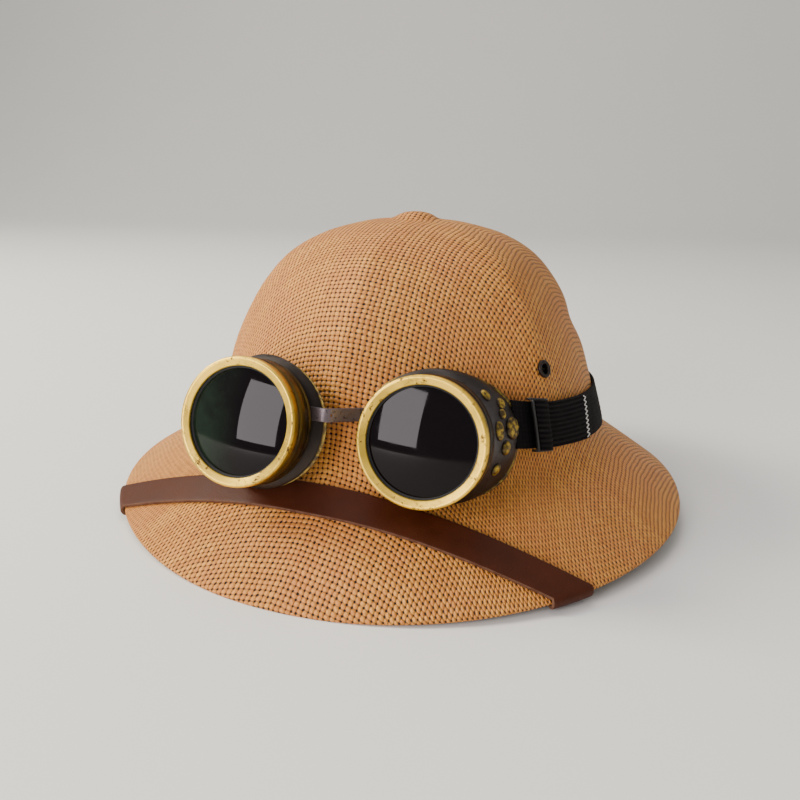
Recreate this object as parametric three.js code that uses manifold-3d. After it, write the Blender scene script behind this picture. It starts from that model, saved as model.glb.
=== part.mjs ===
// Pith helmet of woven straw with a pair of round goggles strapped round its crown.
// Millimetres, +Z up. The front of the helmet faces -Y and the wearer's left is +X.
// The origin is on the surface the brim rests on, below the middle of the brim.

import * as THREE from 'three';
import { mergeVertices } from 'three/addons/utils/BufferGeometryUtils.js';
import Module from 'manifold-3d';

const wasm = await Module();
wasm.setup();

// Straw shell
const BRIM_LENGTH = 324;
const BRIM_WIDTH = 300;
const BRIM_WIDEST_Y = -12;
const BRIM_SIDE_LIFT = 8;
const BRIM_DROP_POWER = 1.05;
const CROWN_LENGTH = 215;
const CROWN_WIDTH = 209;
const CROWN_CENTRE_Y = 0;
const CROWN_BASE_Z = 37;
const CROWN_HEIGHT = 109.5;
const CROWN_RIDGES = 6;
const RIDGE_DEPTH = 0.055;
const RIDGE_SOFTNESS = 0.16;
const TOP_NUB_RADIUS = 13;
const TOP_NUB_HEIGHT = 3.6;
const STRAW_WALL = 2.2;
const FILLET_RISE = 2.2;
const FILLET_REACH = 1.012;
const REST_LAND_DEPTH = 0.7;

// Vent eyelets
const EYELET_LEFT_THETA = 61;
const EYELET_RIGHT_THETA = -119;
const EYELET_Z = 84;
const EYELET_FLANGE_RADIUS = 4.5;
const EYELET_BARREL_RADIUS = 3.1;
const EYELET_HOLE_RADIUS = 2.5;
const EYELET_FLANGE_THICKNESS = 0.8;
const EYELET_FLANGE_ROUNDING = 0.3;
const EYELET_BARREL_REACH = 1;

// Leather strap over the brim
const LEATHER_THICKNESS = 1.8;
const STRAP_BACK_Y = -112;
const STRAP_FRONT_Y = -125.2;
const STRAP_RIGHT_END = { back: -55.5, front: -46.5 };
const STRAP_LEFT_END = { back: 53, front: 45 };
const STRAP_BOW_POWER = 1.5;
const STRAP_BACK_ANCHOR_THETA = 91;
const STRAP_FRONT_ANCHOR_THETA = 85;
const RIVET_WAY = 0.93;
const RIVET_HEAD_RADIUS = 4;
const RIVET_SHANK_RADIUS = 1.8;
const RIVET_HEAD_HEIGHT = 1.2;
const RIVET_HEAD_TAPER = 0.8;
const STRAP_HIDDEN_SLACK = 0.5;

// Goggles
const BEZEL_RADIUS = 28.2;
const BEZEL_OPENING_RADIUS = 24.3;
const BEZEL_DEPTH = 16;
const BEZEL_WALL = 2.3;
const BEZEL_LIP = 2;
const BEZEL_FACE_ROUNDING = 1.8;
const BEZEL_BACK_ROUNDING = 0.6;
const GASKET_THICKNESS = 1;
const GASKET_REVEAL = 0.9;
const LENS_THICKNESS = 2;
const CUP_WALL = 2;
const CUP_RING_RADIUS = 27.3;
const CUP_RING_WIDTH = 1.4;
const CUP_FLARE_STEP = 0.6;
const CUP_NOSE_DEPTH = 20.5;
const CUP_TEMPLE_DEPTH = 46;
const CUP_FLANGE_RADIUS = 29.7;
const CUP_NOSE_FLARE = 1.8;
const CUP_TEMPLE_FLARE = 5;
const CUP_TEMPLE_POWER = 3;
const BRIDGE_WIDTH = 6;
const BRIDGE_RISE = 7.2;
const BRIDGE_THICKNESS = 1.2;
const BRIDGE_PIN_HOLE_RADIUS = 0.6;
const BRIDGE_PIN_INSET = 4;

// Elastic strap
const ELASTIC_WIDTH = 20.8;
const ELASTIC_THICKNESS = 1.5;
const ELASTIC_LEFT_THETA = 46;
const ELASTIC_RIGHT_THETA = 35;
const ELASTIC_FREE_ANGLE = 20;
const ELASTIC_END_ROOM = 0.5;
const ELASTIC_FRONT_Z = 62.2;
const ELASTIC_BACK_Z = 50.5;
const ELASTIC_LEVEL_SHARE = 0.62;
const TAIL_START_THETA = 53;
const TAIL_END_THETA = 77;
const SLIDER_START_THETA = 52;
const SLIDER_END_THETA = 58;
const SLIDER_WIDTH = 23.8;
const SLIDER_THICKNESS = 1.6;
const SLIDER_OPEN_MARGIN = 2;

const GAP = 0.3;
const BAND_CLEARANCE = 0.5;
const TOOL_LENGTH = 14;
const BELOW_FLOOR = 20;
const ROUND_SEGMENTS = 32;
const EYELET_SEGMENTS = 12;
const SHELL_SEGMENTS = 48;

// Crown sections from the top down: height and reach are shares of the crown's height
// and half width, ridge is the share of the ridge depth there.
const CROWN_SECTIONS = [
  { height: 0.98, reach: 0.272, ridge: 0.60 },
  { height: 0.93, reach: 0.462, ridge: 0.85 },
  { height: 0.84, reach: 0.630, ridge: 1.00 },
  { height: 0.71, reach: 0.755, ridge: 1.00 },
  { height: 0.56, reach: 0.847, ridge: 1.00 },
  { height: 0.40, reach: 0.918, ridge: 0.80 },
  { height: 0.24, reach: 0.962, ridge: 0.45 },
  { height: 0.10, reach: 0.994, ridge: 0.15 },
];

// Top nub sections from the top down, as shares of its radius and height.
const NUB_SECTIONS = [
  { reach: 0.30, height: 0.95 },
  { reach: 0.60, height: 0.72 },
  { reach: 1.00, height: 0.12 },
  { reach: 1.45, height: 0.00 },
];

// Brim sections, as shares of the way from the crown to the edge.
const BRIM_SECTIONS = [0.16, 0.36, 0.58, 0.80, 1.00];

// The strap's way from the brim's edge, under the brim and up inside the crown, for both
// of its edges: the share of the angle to its anchor, and of the length of the section.
const STRAP_HIDDEN_WAY = [
  { back: 0.00, front: 0.00, backU: 1.00, frontU: 1.00 },
  { back: 0.31, front: 0.18, backU: 0.88, frontU: 0.88 },
  { back: 0.60, front: 0.38, backU: 0.75, frontU: 0.75 },
  { back: 0.80, front: 0.66, backU: 0.68, frontU: 0.66 },
  { back: 1.00, front: 1.00, backU: 0.64, frontU: 0.59 },
];

// Where each eyepiece sits: the middle of its face as shares of the crown's width, length
// and height, its turn about Z and its upward tilt.
const EYEPIECES = [
  { side: 'right', temple: -1, across: -0.1464, along: -0.6237, up: 0.2840, turn: -1, tilt: 16.4 },
  { side: 'left', temple: 1, across: 0.2282, along: -0.5521, up: 0.2575, turn: 4.6, tilt: 12.6 },
];

// Raised bosses on the temple side of a cup: the angle round its axis from the temple,
// the share of the way from ring to flange, and both half widths as shares of the widest.
const BOSSES = [
  { angle: 45, way: 0.38, round: 0.57, along: 0.39 },
  { angle: 34, way: 0.58, round: 0.52, along: 0.48 },
  { angle: 26, way: 0.46, round: 0.48, along: 0.39 },
  { angle: 13, way: 0.29, round: 0.87, along: 0.57 },
  { angle: 13, way: 0.61, round: 1.00, along: 1.00 },
  { angle: -2, way: 0.44, round: 0.65, along: 0.61 },
  { angle: -22, way: 0.37, round: 0.61, along: 0.48 },
];
const BOSS_HALF_WIDTH = 4.6;
const BOSS_HEIGHT = 1.3;

const radians = THREE.MathUtils.degToRad;
const lerp = THREE.MathUtils.lerp;

// Solids

function dropFlatTriangles(geometry) {
  const index = geometry.index.array;
  const kept = [];
  for (let i = 0; i < index.length; i += 3) {
    const [a, b, c] = [index[i], index[i + 1], index[i + 2]];
    if (a !== b && b !== c && c !== a) kept.push(a, b, c);
  }
  geometry.setIndex(kept);
  return geometry;
}

function closedBody(geometry) {
  const bare = geometry.clone();
  bare.deleteAttribute('normal');
  bare.deleteAttribute('uv');
  bare.clearGroups();
  return dropFlatTriangles(mergeVertices(bare, 1e-3));
}

function toSolid(geometry) {
  const body = closedBody(geometry);
  return new wasm.Manifold(new wasm.Mesh({
    numProp: 3,
    vertProperties: new Float32Array(body.attributes.position.array),
    triVerts: new Uint32Array(body.index.array),
  }));
}

function toGeometry(solid) {
  const mesh = solid.getMesh();
  const geometry = new THREE.BufferGeometry();
  geometry.setAttribute('position', new THREE.BufferAttribute(mesh.vertProperties, 3));
  geometry.setIndex(new THREE.BufferAttribute(mesh.triVerts, 1));
  geometry.computeVertexNormals();
  return geometry;
}

// Moves each vertex of a geometry to the place that a function gives for it.
function formed(geometry, place) {
  const position = geometry.attributes.position;
  const point = new THREE.Vector3();
  for (let i = 0; i < position.count; i += 1) {
    point.fromBufferAttribute(position, i);
    const moved = place(point, i);
    position.setXYZ(i, moved.x, moved.y, moved.z);
  }
  return geometry;
}

// Shape of the shell

const CORNER_INDEX = 1 + NUB_SECTIONS.length + CROWN_SECTIONS.length;
const LAST_INDEX = CORNER_INDEX + BRIM_SECTIONS.length;
const CORNER_U = CORNER_INDEX / LAST_INDEX;
const APEX = new THREE.Vector3(0, CROWN_CENTRE_Y, CROWN_BASE_Z + CROWN_HEIGHT + TOP_NUB_HEIGHT);

function crownBase(theta) {
  return new THREE.Vector3(
    CROWN_WIDTH / 2 * Math.sin(theta),
    CROWN_CENTRE_Y - CROWN_LENGTH / 2 * Math.cos(theta),
    CROWN_BASE_Z,
  );
}

function brimEdge(theta) {
  const reach = BRIM_LENGTH / 2 + Math.sign(Math.cos(theta)) * BRIM_WIDEST_Y;
  return new THREE.Vector3(
    BRIM_WIDTH / 2 * Math.sin(theta),
    BRIM_WIDEST_Y - reach * Math.cos(theta),
    STRAW_WALL + BRIM_SIDE_LIFT * Math.sin(theta) ** 2 - REST_LAND_DEPTH,
  );
}

// Share of the reach left at an angle: one on a ridge, less in the panel between two.
function ridgeGain(theta, share) {
  const panel = 2 * Math.PI / CROWN_RIDGES;
  const fromRidge = 2 * Math.abs(theta / panel - Math.round(theta / panel));
  const across = Math.sin(Math.PI / 2 * fromRidge);
  const soft = Math.hypot(across, RIDGE_SOFTNESS) - RIDGE_SOFTNESS;
  const full = Math.hypot(1, RIDGE_SOFTNESS) - RIDGE_SOFTNESS;
  return 1 - RIDGE_DEPTH * share * soft / full;
}

function domeHeight(reach) {
  const top = CROWN_SECTIONS[0];
  const share = reach / (CROWN_WIDTH / 2) / top.reach;
  return CROWN_HEIGHT * (1 - (1 - top.height) * share ** 2);
}

// The section of the shell's outer face at one angle, from the apex to the brim's edge.
function section(theta) {
  const base = crownBase(theta);
  const edge = brimEdge(theta);
  const centre = new THREE.Vector3(0, CROWN_CENTRE_Y, CROWN_BASE_Z);
  const points = [APEX.clone()];
  for (const row of NUB_SECTIONS) {
    const reach = row.reach * TOP_NUB_RADIUS;
    const rise = domeHeight(reach) + row.height * TOP_NUB_HEIGHT;
    const way = new THREE.Vector3(reach * Math.sin(theta), -reach * Math.cos(theta), rise);
    points.push(centre.clone().add(way));
  }
  for (const row of CROWN_SECTIONS) {
    const point = centre.clone().lerp(base, row.reach * ridgeGain(theta, row.ridge));
    point.z = CROWN_BASE_Z + CROWN_HEIGHT * row.height;
    points.push(point);
  }
  const corner = centre.clone().lerp(base, FILLET_REACH);
  corner.z = CROWN_BASE_Z + FILLET_RISE;
  points.push(corner);
  for (const share of BRIM_SECTIONS) {
    const point = base.clone().lerp(edge, share);
    point.z = lerp(base.z, edge.z, share ** BRIM_DROP_POWER);
    points.push(point);
  }
  return new THREE.CatmullRomCurve3(points, false, 'catmullrom', 0.5);
}

function surfacePoint(theta, u) {
  return section(theta).getPoint(u);
}

// Outward normal of the shell's outer face, from two short steps along it.
function surfaceNormal(theta, u) {
  if (u < 1e-6) return new THREE.Vector3(0, 0, 1);
  const step = 1e-3;
  const down = surfacePoint(theta, Math.min(u + step, 1)).sub(surfacePoint(theta, u - step));
  const round = surfacePoint(theta + step, u).sub(surfacePoint(theta - step, u));
  return round.cross(down).normalize().negate();
}

function offsetPoint(theta, u, outward) {
  return surfacePoint(theta, u).addScaledVector(surfaceNormal(theta, u), outward);
}

// The outermost point of the brim's rounded edge, grown outward by a distance.
function edgeNose(theta, outward) {
  const down = surfacePoint(theta, 1).sub(surfacePoint(theta, 0.999)).normalize();
  const middle = offsetPoint(theta, 1, -STRAW_WALL / 2);
  return middle.addScaledVector(down, STRAW_WALL / 2 + outward);
}

// Share of the section's length at which the crown has the height z.
function crownShareAt(theta, z) {
  const curve = section(theta);
  let [high, low] = [0, CORNER_U];
  for (let i = 0; i < 30; i += 1) {
    const middle = (high + low) / 2;
    if (curve.getPoint(middle).z > z) high = middle;
    else low = middle;
  }
  return (high + low) / 2;
}

// Angle and share of the point of the brim that lies above a point of the plan.
function brimPlace(x, y) {
  let [left, right] = [-Math.PI * 0.6, Math.PI * 0.6];
  const crossing = (theta) => {
    const base = crownBase(theta);
    const edge = brimEdge(theta);
    return (edge.x - base.x) * (y - base.y) - (edge.y - base.y) * (x - base.x);
  };
  for (let i = 0; i < 40; i += 1) {
    const middle = (left + right) / 2;
    if (crossing(middle) > 0) left = middle;
    else right = middle;
  }
  const theta = (left + right) / 2;
  const curve = section(theta);
  const wanted = Math.hypot(x, y - CROWN_CENTRE_Y);
  let [near, far] = [CORNER_U, 1];
  for (let i = 0; i < 30; i += 1) {
    const middle = (near + far) / 2;
    const point = curve.getPoint(middle);
    if (Math.hypot(point.x, point.y - CROWN_CENTRE_Y) < wanted) near = middle;
    else far = middle;
  }
  return { theta, u: (near + far) / 2 };
}

// A lathe turned into the helmet's form: each row of the lathe is one place on the section.
function helmetLathe(rows) {
  const upward = [...rows].reverse();
  const profile = upward.map((row, i) => new THREE.Vector2(1, i));
  const lathe = new THREE.LatheGeometry(profile, SHELL_SEGMENTS);
  return formed(lathe, (point, i) => {
    const turn = Math.floor(i / upward.length) % SHELL_SEGMENTS;
    return upward[i % upward.length](2 * Math.PI * turn / SHELL_SEGMENTS);
  });
}

// Rows of the shell's two faces, counted in points of the section: each face has a row
// on the corner between crown and brim and one close to either side of it.
const OUTER_ROWS = [
  0, 1, 2, 3, 4, 5, 6, 7, 8, 9, 10, 11, 12, CORNER_INDEX - 0.5, CORNER_INDEX,
  CORNER_INDEX + 0.5, 14, 15, 16, 17, LAST_INDEX,
];
const INNER_ROWS = [
  0, 2, 4, 5, 6, 7, 8, 10, 12, CORNER_INDEX - 0.5, CORNER_INDEX,
  CORNER_INDEX + 0.5, 14, 16, LAST_INDEX,
];

function evenShares(from, to, count) {
  return Array.from({ length: count + 1 }, (_, i) => lerp(from, to, i / count));
}

function faceRows(offset, rows) {
  return rows.map((row) => (theta) => offsetPoint(theta, row / LAST_INDEX, offset));
}

// The helmet's outer form filled down to below the brim, grown outward by a distance.
function helmetBlock(growth) {
  const outer = faceRows(growth, OUTER_ROWS);
  const under = [
    (theta) => edgeNose(theta, growth).setZ(-BELOW_FLOOR),
    () => new THREE.Vector3(0, CROWN_CENTRE_Y, -BELOW_FLOOR),
  ];
  return toSolid(helmetLathe([...outer, (theta) => edgeNose(theta, growth), ...under]));
}

function roundTool(radius, place) {
  const tool = new THREE.CylinderGeometry(radius, radius, TOOL_LENGTH, EYELET_SEGMENTS);
  const turn = new THREE.Quaternion().setFromUnitVectors(new THREE.Vector3(0, 1, 0), place.normal);
  tool.applyQuaternion(turn);
  tool.translate(place.point.x, place.point.y, place.point.z);
  return toSolid(tool);
}

function eyeletPlace(side) {
  const theta = radians(side > 0 ? EYELET_LEFT_THETA : EYELET_RIGHT_THETA);
  const u = crownShareAt(theta, EYELET_Z);
  return { point: surfacePoint(theta, u), normal: surfaceNormal(theta, u) };
}

function helmetShell() {
  const outer = faceRows(0, OUTER_ROWS);
  const inner = faceRows(-STRAW_WALL, INNER_ROWS).reverse();
  let solid = toSolid(helmetLathe([...outer, (theta) => edgeNose(theta, 0), ...inner]));
  for (const side of [-1, 1]) {
    solid = solid.subtract(roundTool(EYELET_BARREL_RADIUS + GAP, eyeletPlace(side)));
    solid = solid.subtract(roundTool(RIVET_SHANK_RADIUS + GAP, rivetPlace(side)));
  }
  const floor = new THREE.BoxGeometry(2 * BRIM_WIDTH, 2 * BRIM_LENGTH, BELOW_FLOOR);
  floor.translate(0, 0, -BELOW_FLOOR / 2);
  return toGeometry(solid.subtract(toSolid(floor)));
}

// Leather strap over the front of the brim

function strapEnd(side) {
  return side < 0 ? STRAP_RIGHT_END : STRAP_LEFT_END;
}

// Both edges of the strap at a share of its visible stretch, -1 to 1 across the brim.
function visibleStation(share) {
  const end = strapEnd(share);
  const bow = Math.abs(share) ** STRAP_BOW_POWER;
  const backEnd = brimEdge(radians(end.back));
  const frontEnd = brimEdge(radians(end.front));
  return {
    back: brimPlace(backEnd.x * Math.abs(share), lerp(STRAP_BACK_Y, backEnd.y, bow)),
    front: brimPlace(frontEnd.x * Math.abs(share), lerp(STRAP_FRONT_Y, frontEnd.y, bow)),
  };
}

function hiddenStation(share, side) {
  const steps = STRAP_HIDDEN_WAY.length - 1;
  const i = Math.min(Math.floor(share * steps), steps - 1);
  const [from, to] = [STRAP_HIDDEN_WAY[i], STRAP_HIDDEN_WAY[i + 1]];
  const between = (key) => lerp(from[key], to[key], share * steps - i);
  const end = strapEnd(side);
  const back = lerp(end.back, side * STRAP_BACK_ANCHOR_THETA, between('back'));
  const front = lerp(end.front, side * STRAP_FRONT_ANCHOR_THETA, between('front'));
  return {
    back: { theta: radians(back), u: between('backU') },
    front: { theta: radians(front), u: between('frontU') },
  };
}

// Point of the strap as it turns round the brim's edge: half turn 0 is above, 1 below.
function wrapPoint(theta, halfTurn, reach) {
  const normal = surfaceNormal(theta, 1);
  const down = surfacePoint(theta, 1).sub(surfacePoint(theta, 0.999)).normalize();
  const angle = Math.PI * halfTurn;
  return offsetPoint(theta, 1, -STRAW_WALL / 2)
    .addScaledVector(normal, Math.cos(angle) * (STRAW_WALL / 2 + reach))
    .addScaledVector(down, Math.sin(angle) * (STRAW_WALL / 2 + reach));
}

const HIDDEN_STEPS = 9;
const WRAP_STEPS = 4;
const VISIBLE_STEPS = 22;

// Stations along the whole strap, each a function of the side (0 back edge, 1 front
// edge) and of the distance from the straw.
function strapStations() {
  const stations = [];
  const blend = (back, front, across, reach) => {
    const place = { theta: lerp(back.theta, front.theta, across), u: lerp(back.u, front.u, across) };
    return offsetPoint(place.theta, place.u, reach);
  };
  for (const side of [-1, 1]) {
    const half = [];
    for (let i = 1; i <= WRAP_STEPS; i += 1) {
      half.push((across, reach) => {
        const theta = lerp(strapEnd(side).back, strapEnd(side).front, across);
        return wrapPoint(radians(theta), i / WRAP_STEPS, reach);
      });
    }
    for (let i = 1; i <= HIDDEN_STEPS; i += 1) {
      const station = hiddenStation(i / HIDDEN_STEPS, side);
      const inside = (reach) => -STRAW_WALL - STRAP_HIDDEN_SLACK - reach;
      half.push((across, reach) => blend(station.back, station.front, across, inside(reach)));
    }
    if (side < 0) stations.push(...half.reverse());
    if (side < 0) {
      for (let i = 0; i <= VISIBLE_STEPS; i += 1) {
        const station = visibleStation(2 * i / VISIBLE_STEPS - 1);
        stations.push((across, reach) => blend(station.back, station.front, across, reach));
      }
    }
    if (side > 0) stations.push(...half);
  }
  return stations;
}

// A box bent into a band: x runs along the stations, y across and z through the band.
function band(stations, thickness, acrossSteps, clearance) {
  const steps = stations.length - 1;
  const box = new THREE.BoxGeometry(1, 1, 1, steps, acrossSteps, 1);
  return formed(box, (point) => {
    const station = stations[Math.round((point.x + 0.5) * steps)];
    return station(0.5 - point.y, clearance + (point.z + 0.5) * thickness);
  });
}

function rivetPlace(side) {
  const end = hiddenStation(RIVET_WAY, side);
  const theta = (end.back.theta + end.front.theta) / 2;
  const u = (end.back.u + end.front.u) / 2;
  return { point: surfacePoint(theta, u), normal: surfaceNormal(theta, u) };
}

function brimStrap() {
  let solid = toSolid(band(strapStations(), LEATHER_THICKNESS, 2, BAND_CLEARANCE));
  for (const side of [-1, 1]) {
    solid = solid.subtract(roundTool(RIVET_SHANK_RADIUS + GAP, rivetPlace(side)));
  }
  return toGeometry(solid);
}

// A body turned about Y and set with its Y axis along a direction.
function turned(profile, place) {
  const points = profile.map(([radius, height]) => new THREE.Vector2(radius, height));
  const body = new THREE.LatheGeometry(points, EYELET_SEGMENTS);
  body.applyQuaternion(new THREE.Quaternion().setFromUnitVectors(
    new THREE.Vector3(0, 1, 0), place.normal));
  body.translate(place.point.x, place.point.y, place.point.z);
  return toGeometry(toSolid(body));
}

// Tubular rivet: a flush shank through straw and leather, with a low head inside.
function strapRivet(side) {
  const leatherFace = STRAW_WALL + STRAP_HIDDEN_SLACK + BAND_CLEARANCE + LEATHER_THICKNESS;
  const seat = -leatherFace - GAP;
  return turned([
    [0, seat - RIVET_HEAD_HEIGHT],
    [RIVET_HEAD_RADIUS * RIVET_HEAD_TAPER, seat - RIVET_HEAD_HEIGHT],
    [RIVET_HEAD_RADIUS, seat - RIVET_HEAD_HEIGHT / 2],
    [RIVET_HEAD_RADIUS, seat],
    [RIVET_SHANK_RADIUS, seat],
    [RIVET_SHANK_RADIUS, -GAP],
    [0, -GAP],
  ], rivetPlace(side));
}

function ventEyelet(side) {
  const [hole, barrel, flange] = [EYELET_HOLE_RADIUS, EYELET_BARREL_RADIUS, EYELET_FLANGE_RADIUS];
  const top = GAP + EYELET_FLANGE_THICKNESS;
  const bottom = -STRAW_WALL - EYELET_BARREL_REACH;
  return turned([
    [hole, bottom],
    [barrel, bottom],
    [barrel, GAP],
    [flange, GAP],
    [flange, top - EYELET_FLANGE_ROUNDING],
    [(hole + flange) / 2, top],
    [hole, top - EYELET_FLANGE_ROUNDING],
    [hole, bottom],
  ], eyeletPlace(side));
}

// Elastic strap round the crown

function elasticStart(theta) {
  return radians(theta > 0 ? ELASTIC_LEFT_THETA : ELASTIC_RIGHT_THETA);
}

function elasticHeight(theta) {
  const start = elasticStart(theta);
  const share = (Math.abs(theta) - start) / (Math.PI - start) / ELASTIC_LEVEL_SHARE;
  const fall = Math.sin(Math.PI / 2 * THREE.MathUtils.clamp(share, 0, 1));
  return lerp(ELASTIC_FRONT_Z, ELASTIC_BACK_Z, fall);
}

// How far the elastic stands off the crown where it runs straight on into a cup.
function elasticLift(theta) {
  const free = elasticStart(theta) + radians(ELASTIC_FREE_ANGLE) - Math.abs(theta);
  return free > 0 ? CROWN_WIDTH / 2 * (1 / Math.cos(free) - 1) : 0;
}

function crownStation(theta, width) {
  const curve = [-0.5, 0.5].map((side) => crownShareAt(theta, elasticHeight(theta) - side * width));
  return (across, reach) => {
    return offsetPoint(theta, lerp(curve[0], curve[1], across), reach + elasticLift(theta));
  };
}

// Stations on the crown from one angle to another, in degrees past the front, leftward.
function crownStations(from, to, steps, width) {
  return evenShares(from, to, steps).map((theta) => crownStation(radians(theta), width));
}

function elasticStations(width, endRoom) {
  const forward = crownStations(ELASTIC_LEFT_THETA - endRoom, 180, 22, width);
  const backward = crownStations(-180, endRoom - ELASTIC_RIGHT_THETA, 24, width);
  return [...forward.slice(0, -1), ...backward];
}

function elasticStrap() {
  const stations = elasticStations(ELASTIC_WIDTH, 0);
  return toGeometry(toSolid(band(stations, ELASTIC_THICKNESS, 2, BAND_CLEARANCE)));
}

const TAIL_CLEARANCE = BAND_CLEARANCE + GAP + ELASTIC_THICKNESS;

function elasticTail() {
  const stations = crownStations(TAIL_START_THETA, TAIL_END_THETA, 6, ELASTIC_WIDTH);
  return toGeometry(toSolid(band(stations, ELASTIC_THICKNESS, 2, TAIL_CLEARANCE)));
}

// Slider: a cover plate over both layers of elastic, with a rail along each edge.
function strapSlider() {
  const outer = crownStations(SLIDER_START_THETA, SLIDER_END_THETA, 4, SLIDER_WIDTH);
  const [start, end] = [
    SLIDER_START_THETA - SLIDER_OPEN_MARGIN, SLIDER_END_THETA + SLIDER_OPEN_MARGIN];
  const inner = crownStations(start, end, 4, ELASTIC_WIDTH + 2 * GAP);
  const cover = TAIL_CLEARANCE + ELASTIC_THICKNESS + GAP;
  const body = toSolid(band(outer, cover + SLIDER_THICKNESS - GAP, 2, GAP));
  const passage = toSolid(band(inner, cover, 2, 0));
  return toGeometry(body.subtract(passage));
}

// Goggles

const NECK_RADIUS = BEZEL_RADIUS - BEZEL_WALL - GAP;
const GASKET_FRONT = BEZEL_LIP + GAP;
const LENS_FRONT = GASKET_FRONT + GASKET_THICKNESS + GAP;
const NECK_FRONT = LENS_FRONT + LENS_THICKNESS + GAP;
const RING_FRONT = BEZEL_DEPTH + GAP;
const FLARE_FRONT = RING_FRONT + CUP_RING_WIDTH;

// A body of revolution about Y from a profile of radius and distance behind the face,
// listed from the inside backwards and round to the front.
function ring(profile) {
  const points = profile.map(([radius, back]) => new THREE.Vector2(radius, back));
  return new THREE.LatheGeometry([...points, points[0]].reverse(), ROUND_SEGMENTS);
}

function bezelRing() {
  const bore = BEZEL_RADIUS - BEZEL_WALL;
  return closedBody(ring([
    [BEZEL_OPENING_RADIUS, BEZEL_LIP],
    [bore, BEZEL_LIP],
    [bore, BEZEL_DEPTH],
    [BEZEL_RADIUS - BEZEL_BACK_ROUNDING, BEZEL_DEPTH],
    [BEZEL_RADIUS, BEZEL_DEPTH - BEZEL_BACK_ROUNDING],
    [BEZEL_RADIUS, BEZEL_FACE_ROUNDING],
    [BEZEL_RADIUS - 0.3 * BEZEL_FACE_ROUNDING, 0.3 * BEZEL_FACE_ROUNDING],
    [BEZEL_RADIUS - BEZEL_FACE_ROUNDING, 0],
    [BEZEL_OPENING_RADIUS + BEZEL_FACE_ROUNDING / 2, 0],
    [BEZEL_OPENING_RADIUS, BEZEL_FACE_ROUNDING / 2],
  ]));
}

function lensGasket() {
  const inner = BEZEL_OPENING_RADIUS - GASKET_REVEAL;
  const back = GASKET_FRONT + GASKET_THICKNESS;
  return closedBody(ring([
    [inner, GASKET_FRONT], [inner, back], [NECK_RADIUS, back], [NECK_RADIUS, GASKET_FRONT],
  ]));
}

function lensDisc() {
  const back = LENS_FRONT + LENS_THICKNESS;
  const points = [[0, back], [NECK_RADIUS, back], [NECK_RADIUS, LENS_FRONT], [0, LENS_FRONT]];
  const profile = points.map(([radius, depth]) => new THREE.Vector2(radius, depth));
  return closedBody(new THREE.LatheGeometry(profile.reverse(), ROUND_SEGMENTS));
}

// How much a direction round the cup's axis belongs to the temple side, 0 to 1.
function templeShare(angle) {
  return ((1 + Math.cos(angle)) / 2) ** CUP_TEMPLE_POWER;
}

// A point of the cup's flare: the way from ring to flange, and the distance inward.
function flarePoint(angle, way, inward) {
  const temple = templeShare(angle);
  const depth = lerp(CUP_NOSE_DEPTH, CUP_TEMPLE_DEPTH, temple);
  const nose = templeShare(Math.PI - angle);
  const flange = CUP_FLANGE_RADIUS + CUP_TEMPLE_FLARE * temple + CUP_NOSE_FLARE * nose;
  const start = NECK_RADIUS + CUP_FLARE_STEP;
  const spread = Math.sin(Math.PI / 2 * Math.min(way / 0.9, 1)) ** 1.5;
  return {
    radius: lerp(start, flange, spread) - inward,
    back: lerp(FLARE_FRONT, depth, way),
  };
}

function cupBody(temple) {
  const neckInside = NECK_RADIUS - CUP_WALL;
  const fixed = (radius, back) => () => ({ radius, back });
  const rows = [
    fixed(neckInside, NECK_FRONT),
    ...[0, 0.45, 0.8, 1].map((way) => (angle) => flarePoint(angle, way, CUP_WALL)),
    ...[1, 0.88, 0.65, 0.35, 0].map((way) => (angle) => flarePoint(angle, way, 0)),
    fixed(CUP_RING_RADIUS, FLARE_FRONT),
    fixed(CUP_RING_RADIUS, RING_FRONT),
    fixed(NECK_RADIUS, RING_FRONT),
    fixed(NECK_RADIUS, NECK_FRONT),
  ];
  const count = rows.length + 1;
  const profile = Array.from({ length: count }, (_, i) => new THREE.Vector2(1, -i));
  const lathe = new THREE.LatheGeometry(profile, ROUND_SEGMENTS);
  return toSolid(formed(lathe, (point, i) => {
    const turn = Math.floor(i / count) % ROUND_SEGMENTS;
    const angle = 2 * Math.PI * turn / ROUND_SEGMENTS;
    const { radius, back } = rows[i % count % rows.length](temple > 0 ? angle : Math.PI - angle);
    return new THREE.Vector3(radius * Math.cos(angle), back, radius * Math.sin(angle));
  }));
}

function bossBody(row, temple) {
  const fromTemple = radians(row.angle);
  const { radius, back } = flarePoint(fromTemple, row.way, 0);
  const angle = temple > 0 ? fromTemple : Math.PI - fromTemple;
  const boss = new THREE.SphereGeometry(1, 8, 4);
  boss.scale(BOSS_HEIGHT, row.along * BOSS_HALF_WIDTH, row.round * BOSS_HALF_WIDTH);
  boss.rotateY(-angle);
  boss.translate(radius * Math.cos(angle), back, radius * Math.sin(angle));
  return toSolid(boss);
}

function eyepieceMatrix(eyepiece) {
  const turn = new THREE.Euler(-radians(eyepiece.tilt), 0, radians(eyepiece.turn), 'ZXY');
  const place = new THREE.Vector3(
    eyepiece.across * CROWN_WIDTH,
    eyepiece.along * CROWN_LENGTH,
    CROWN_BASE_Z + eyepiece.up * CROWN_HEIGHT);
  const matrix = new THREE.Matrix4().makeRotationFromEuler(turn);
  return matrix.setPosition(place);
}

// The strip of the nose bridge runs between the inner sides of the two cups.
function bridgeEnds() {
  return EYEPIECES.map((eyepiece) => {
    const inward = -eyepiece.temple * (NECK_RADIUS + CUP_FLARE_STEP - CUP_WALL / 2);
    const point = new THREE.Vector3(inward, FLARE_FRONT + BRIDGE_THICKNESS, BRIDGE_RISE);
    return point.applyMatrix4(eyepieceMatrix(eyepiece));
  });
}

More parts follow.
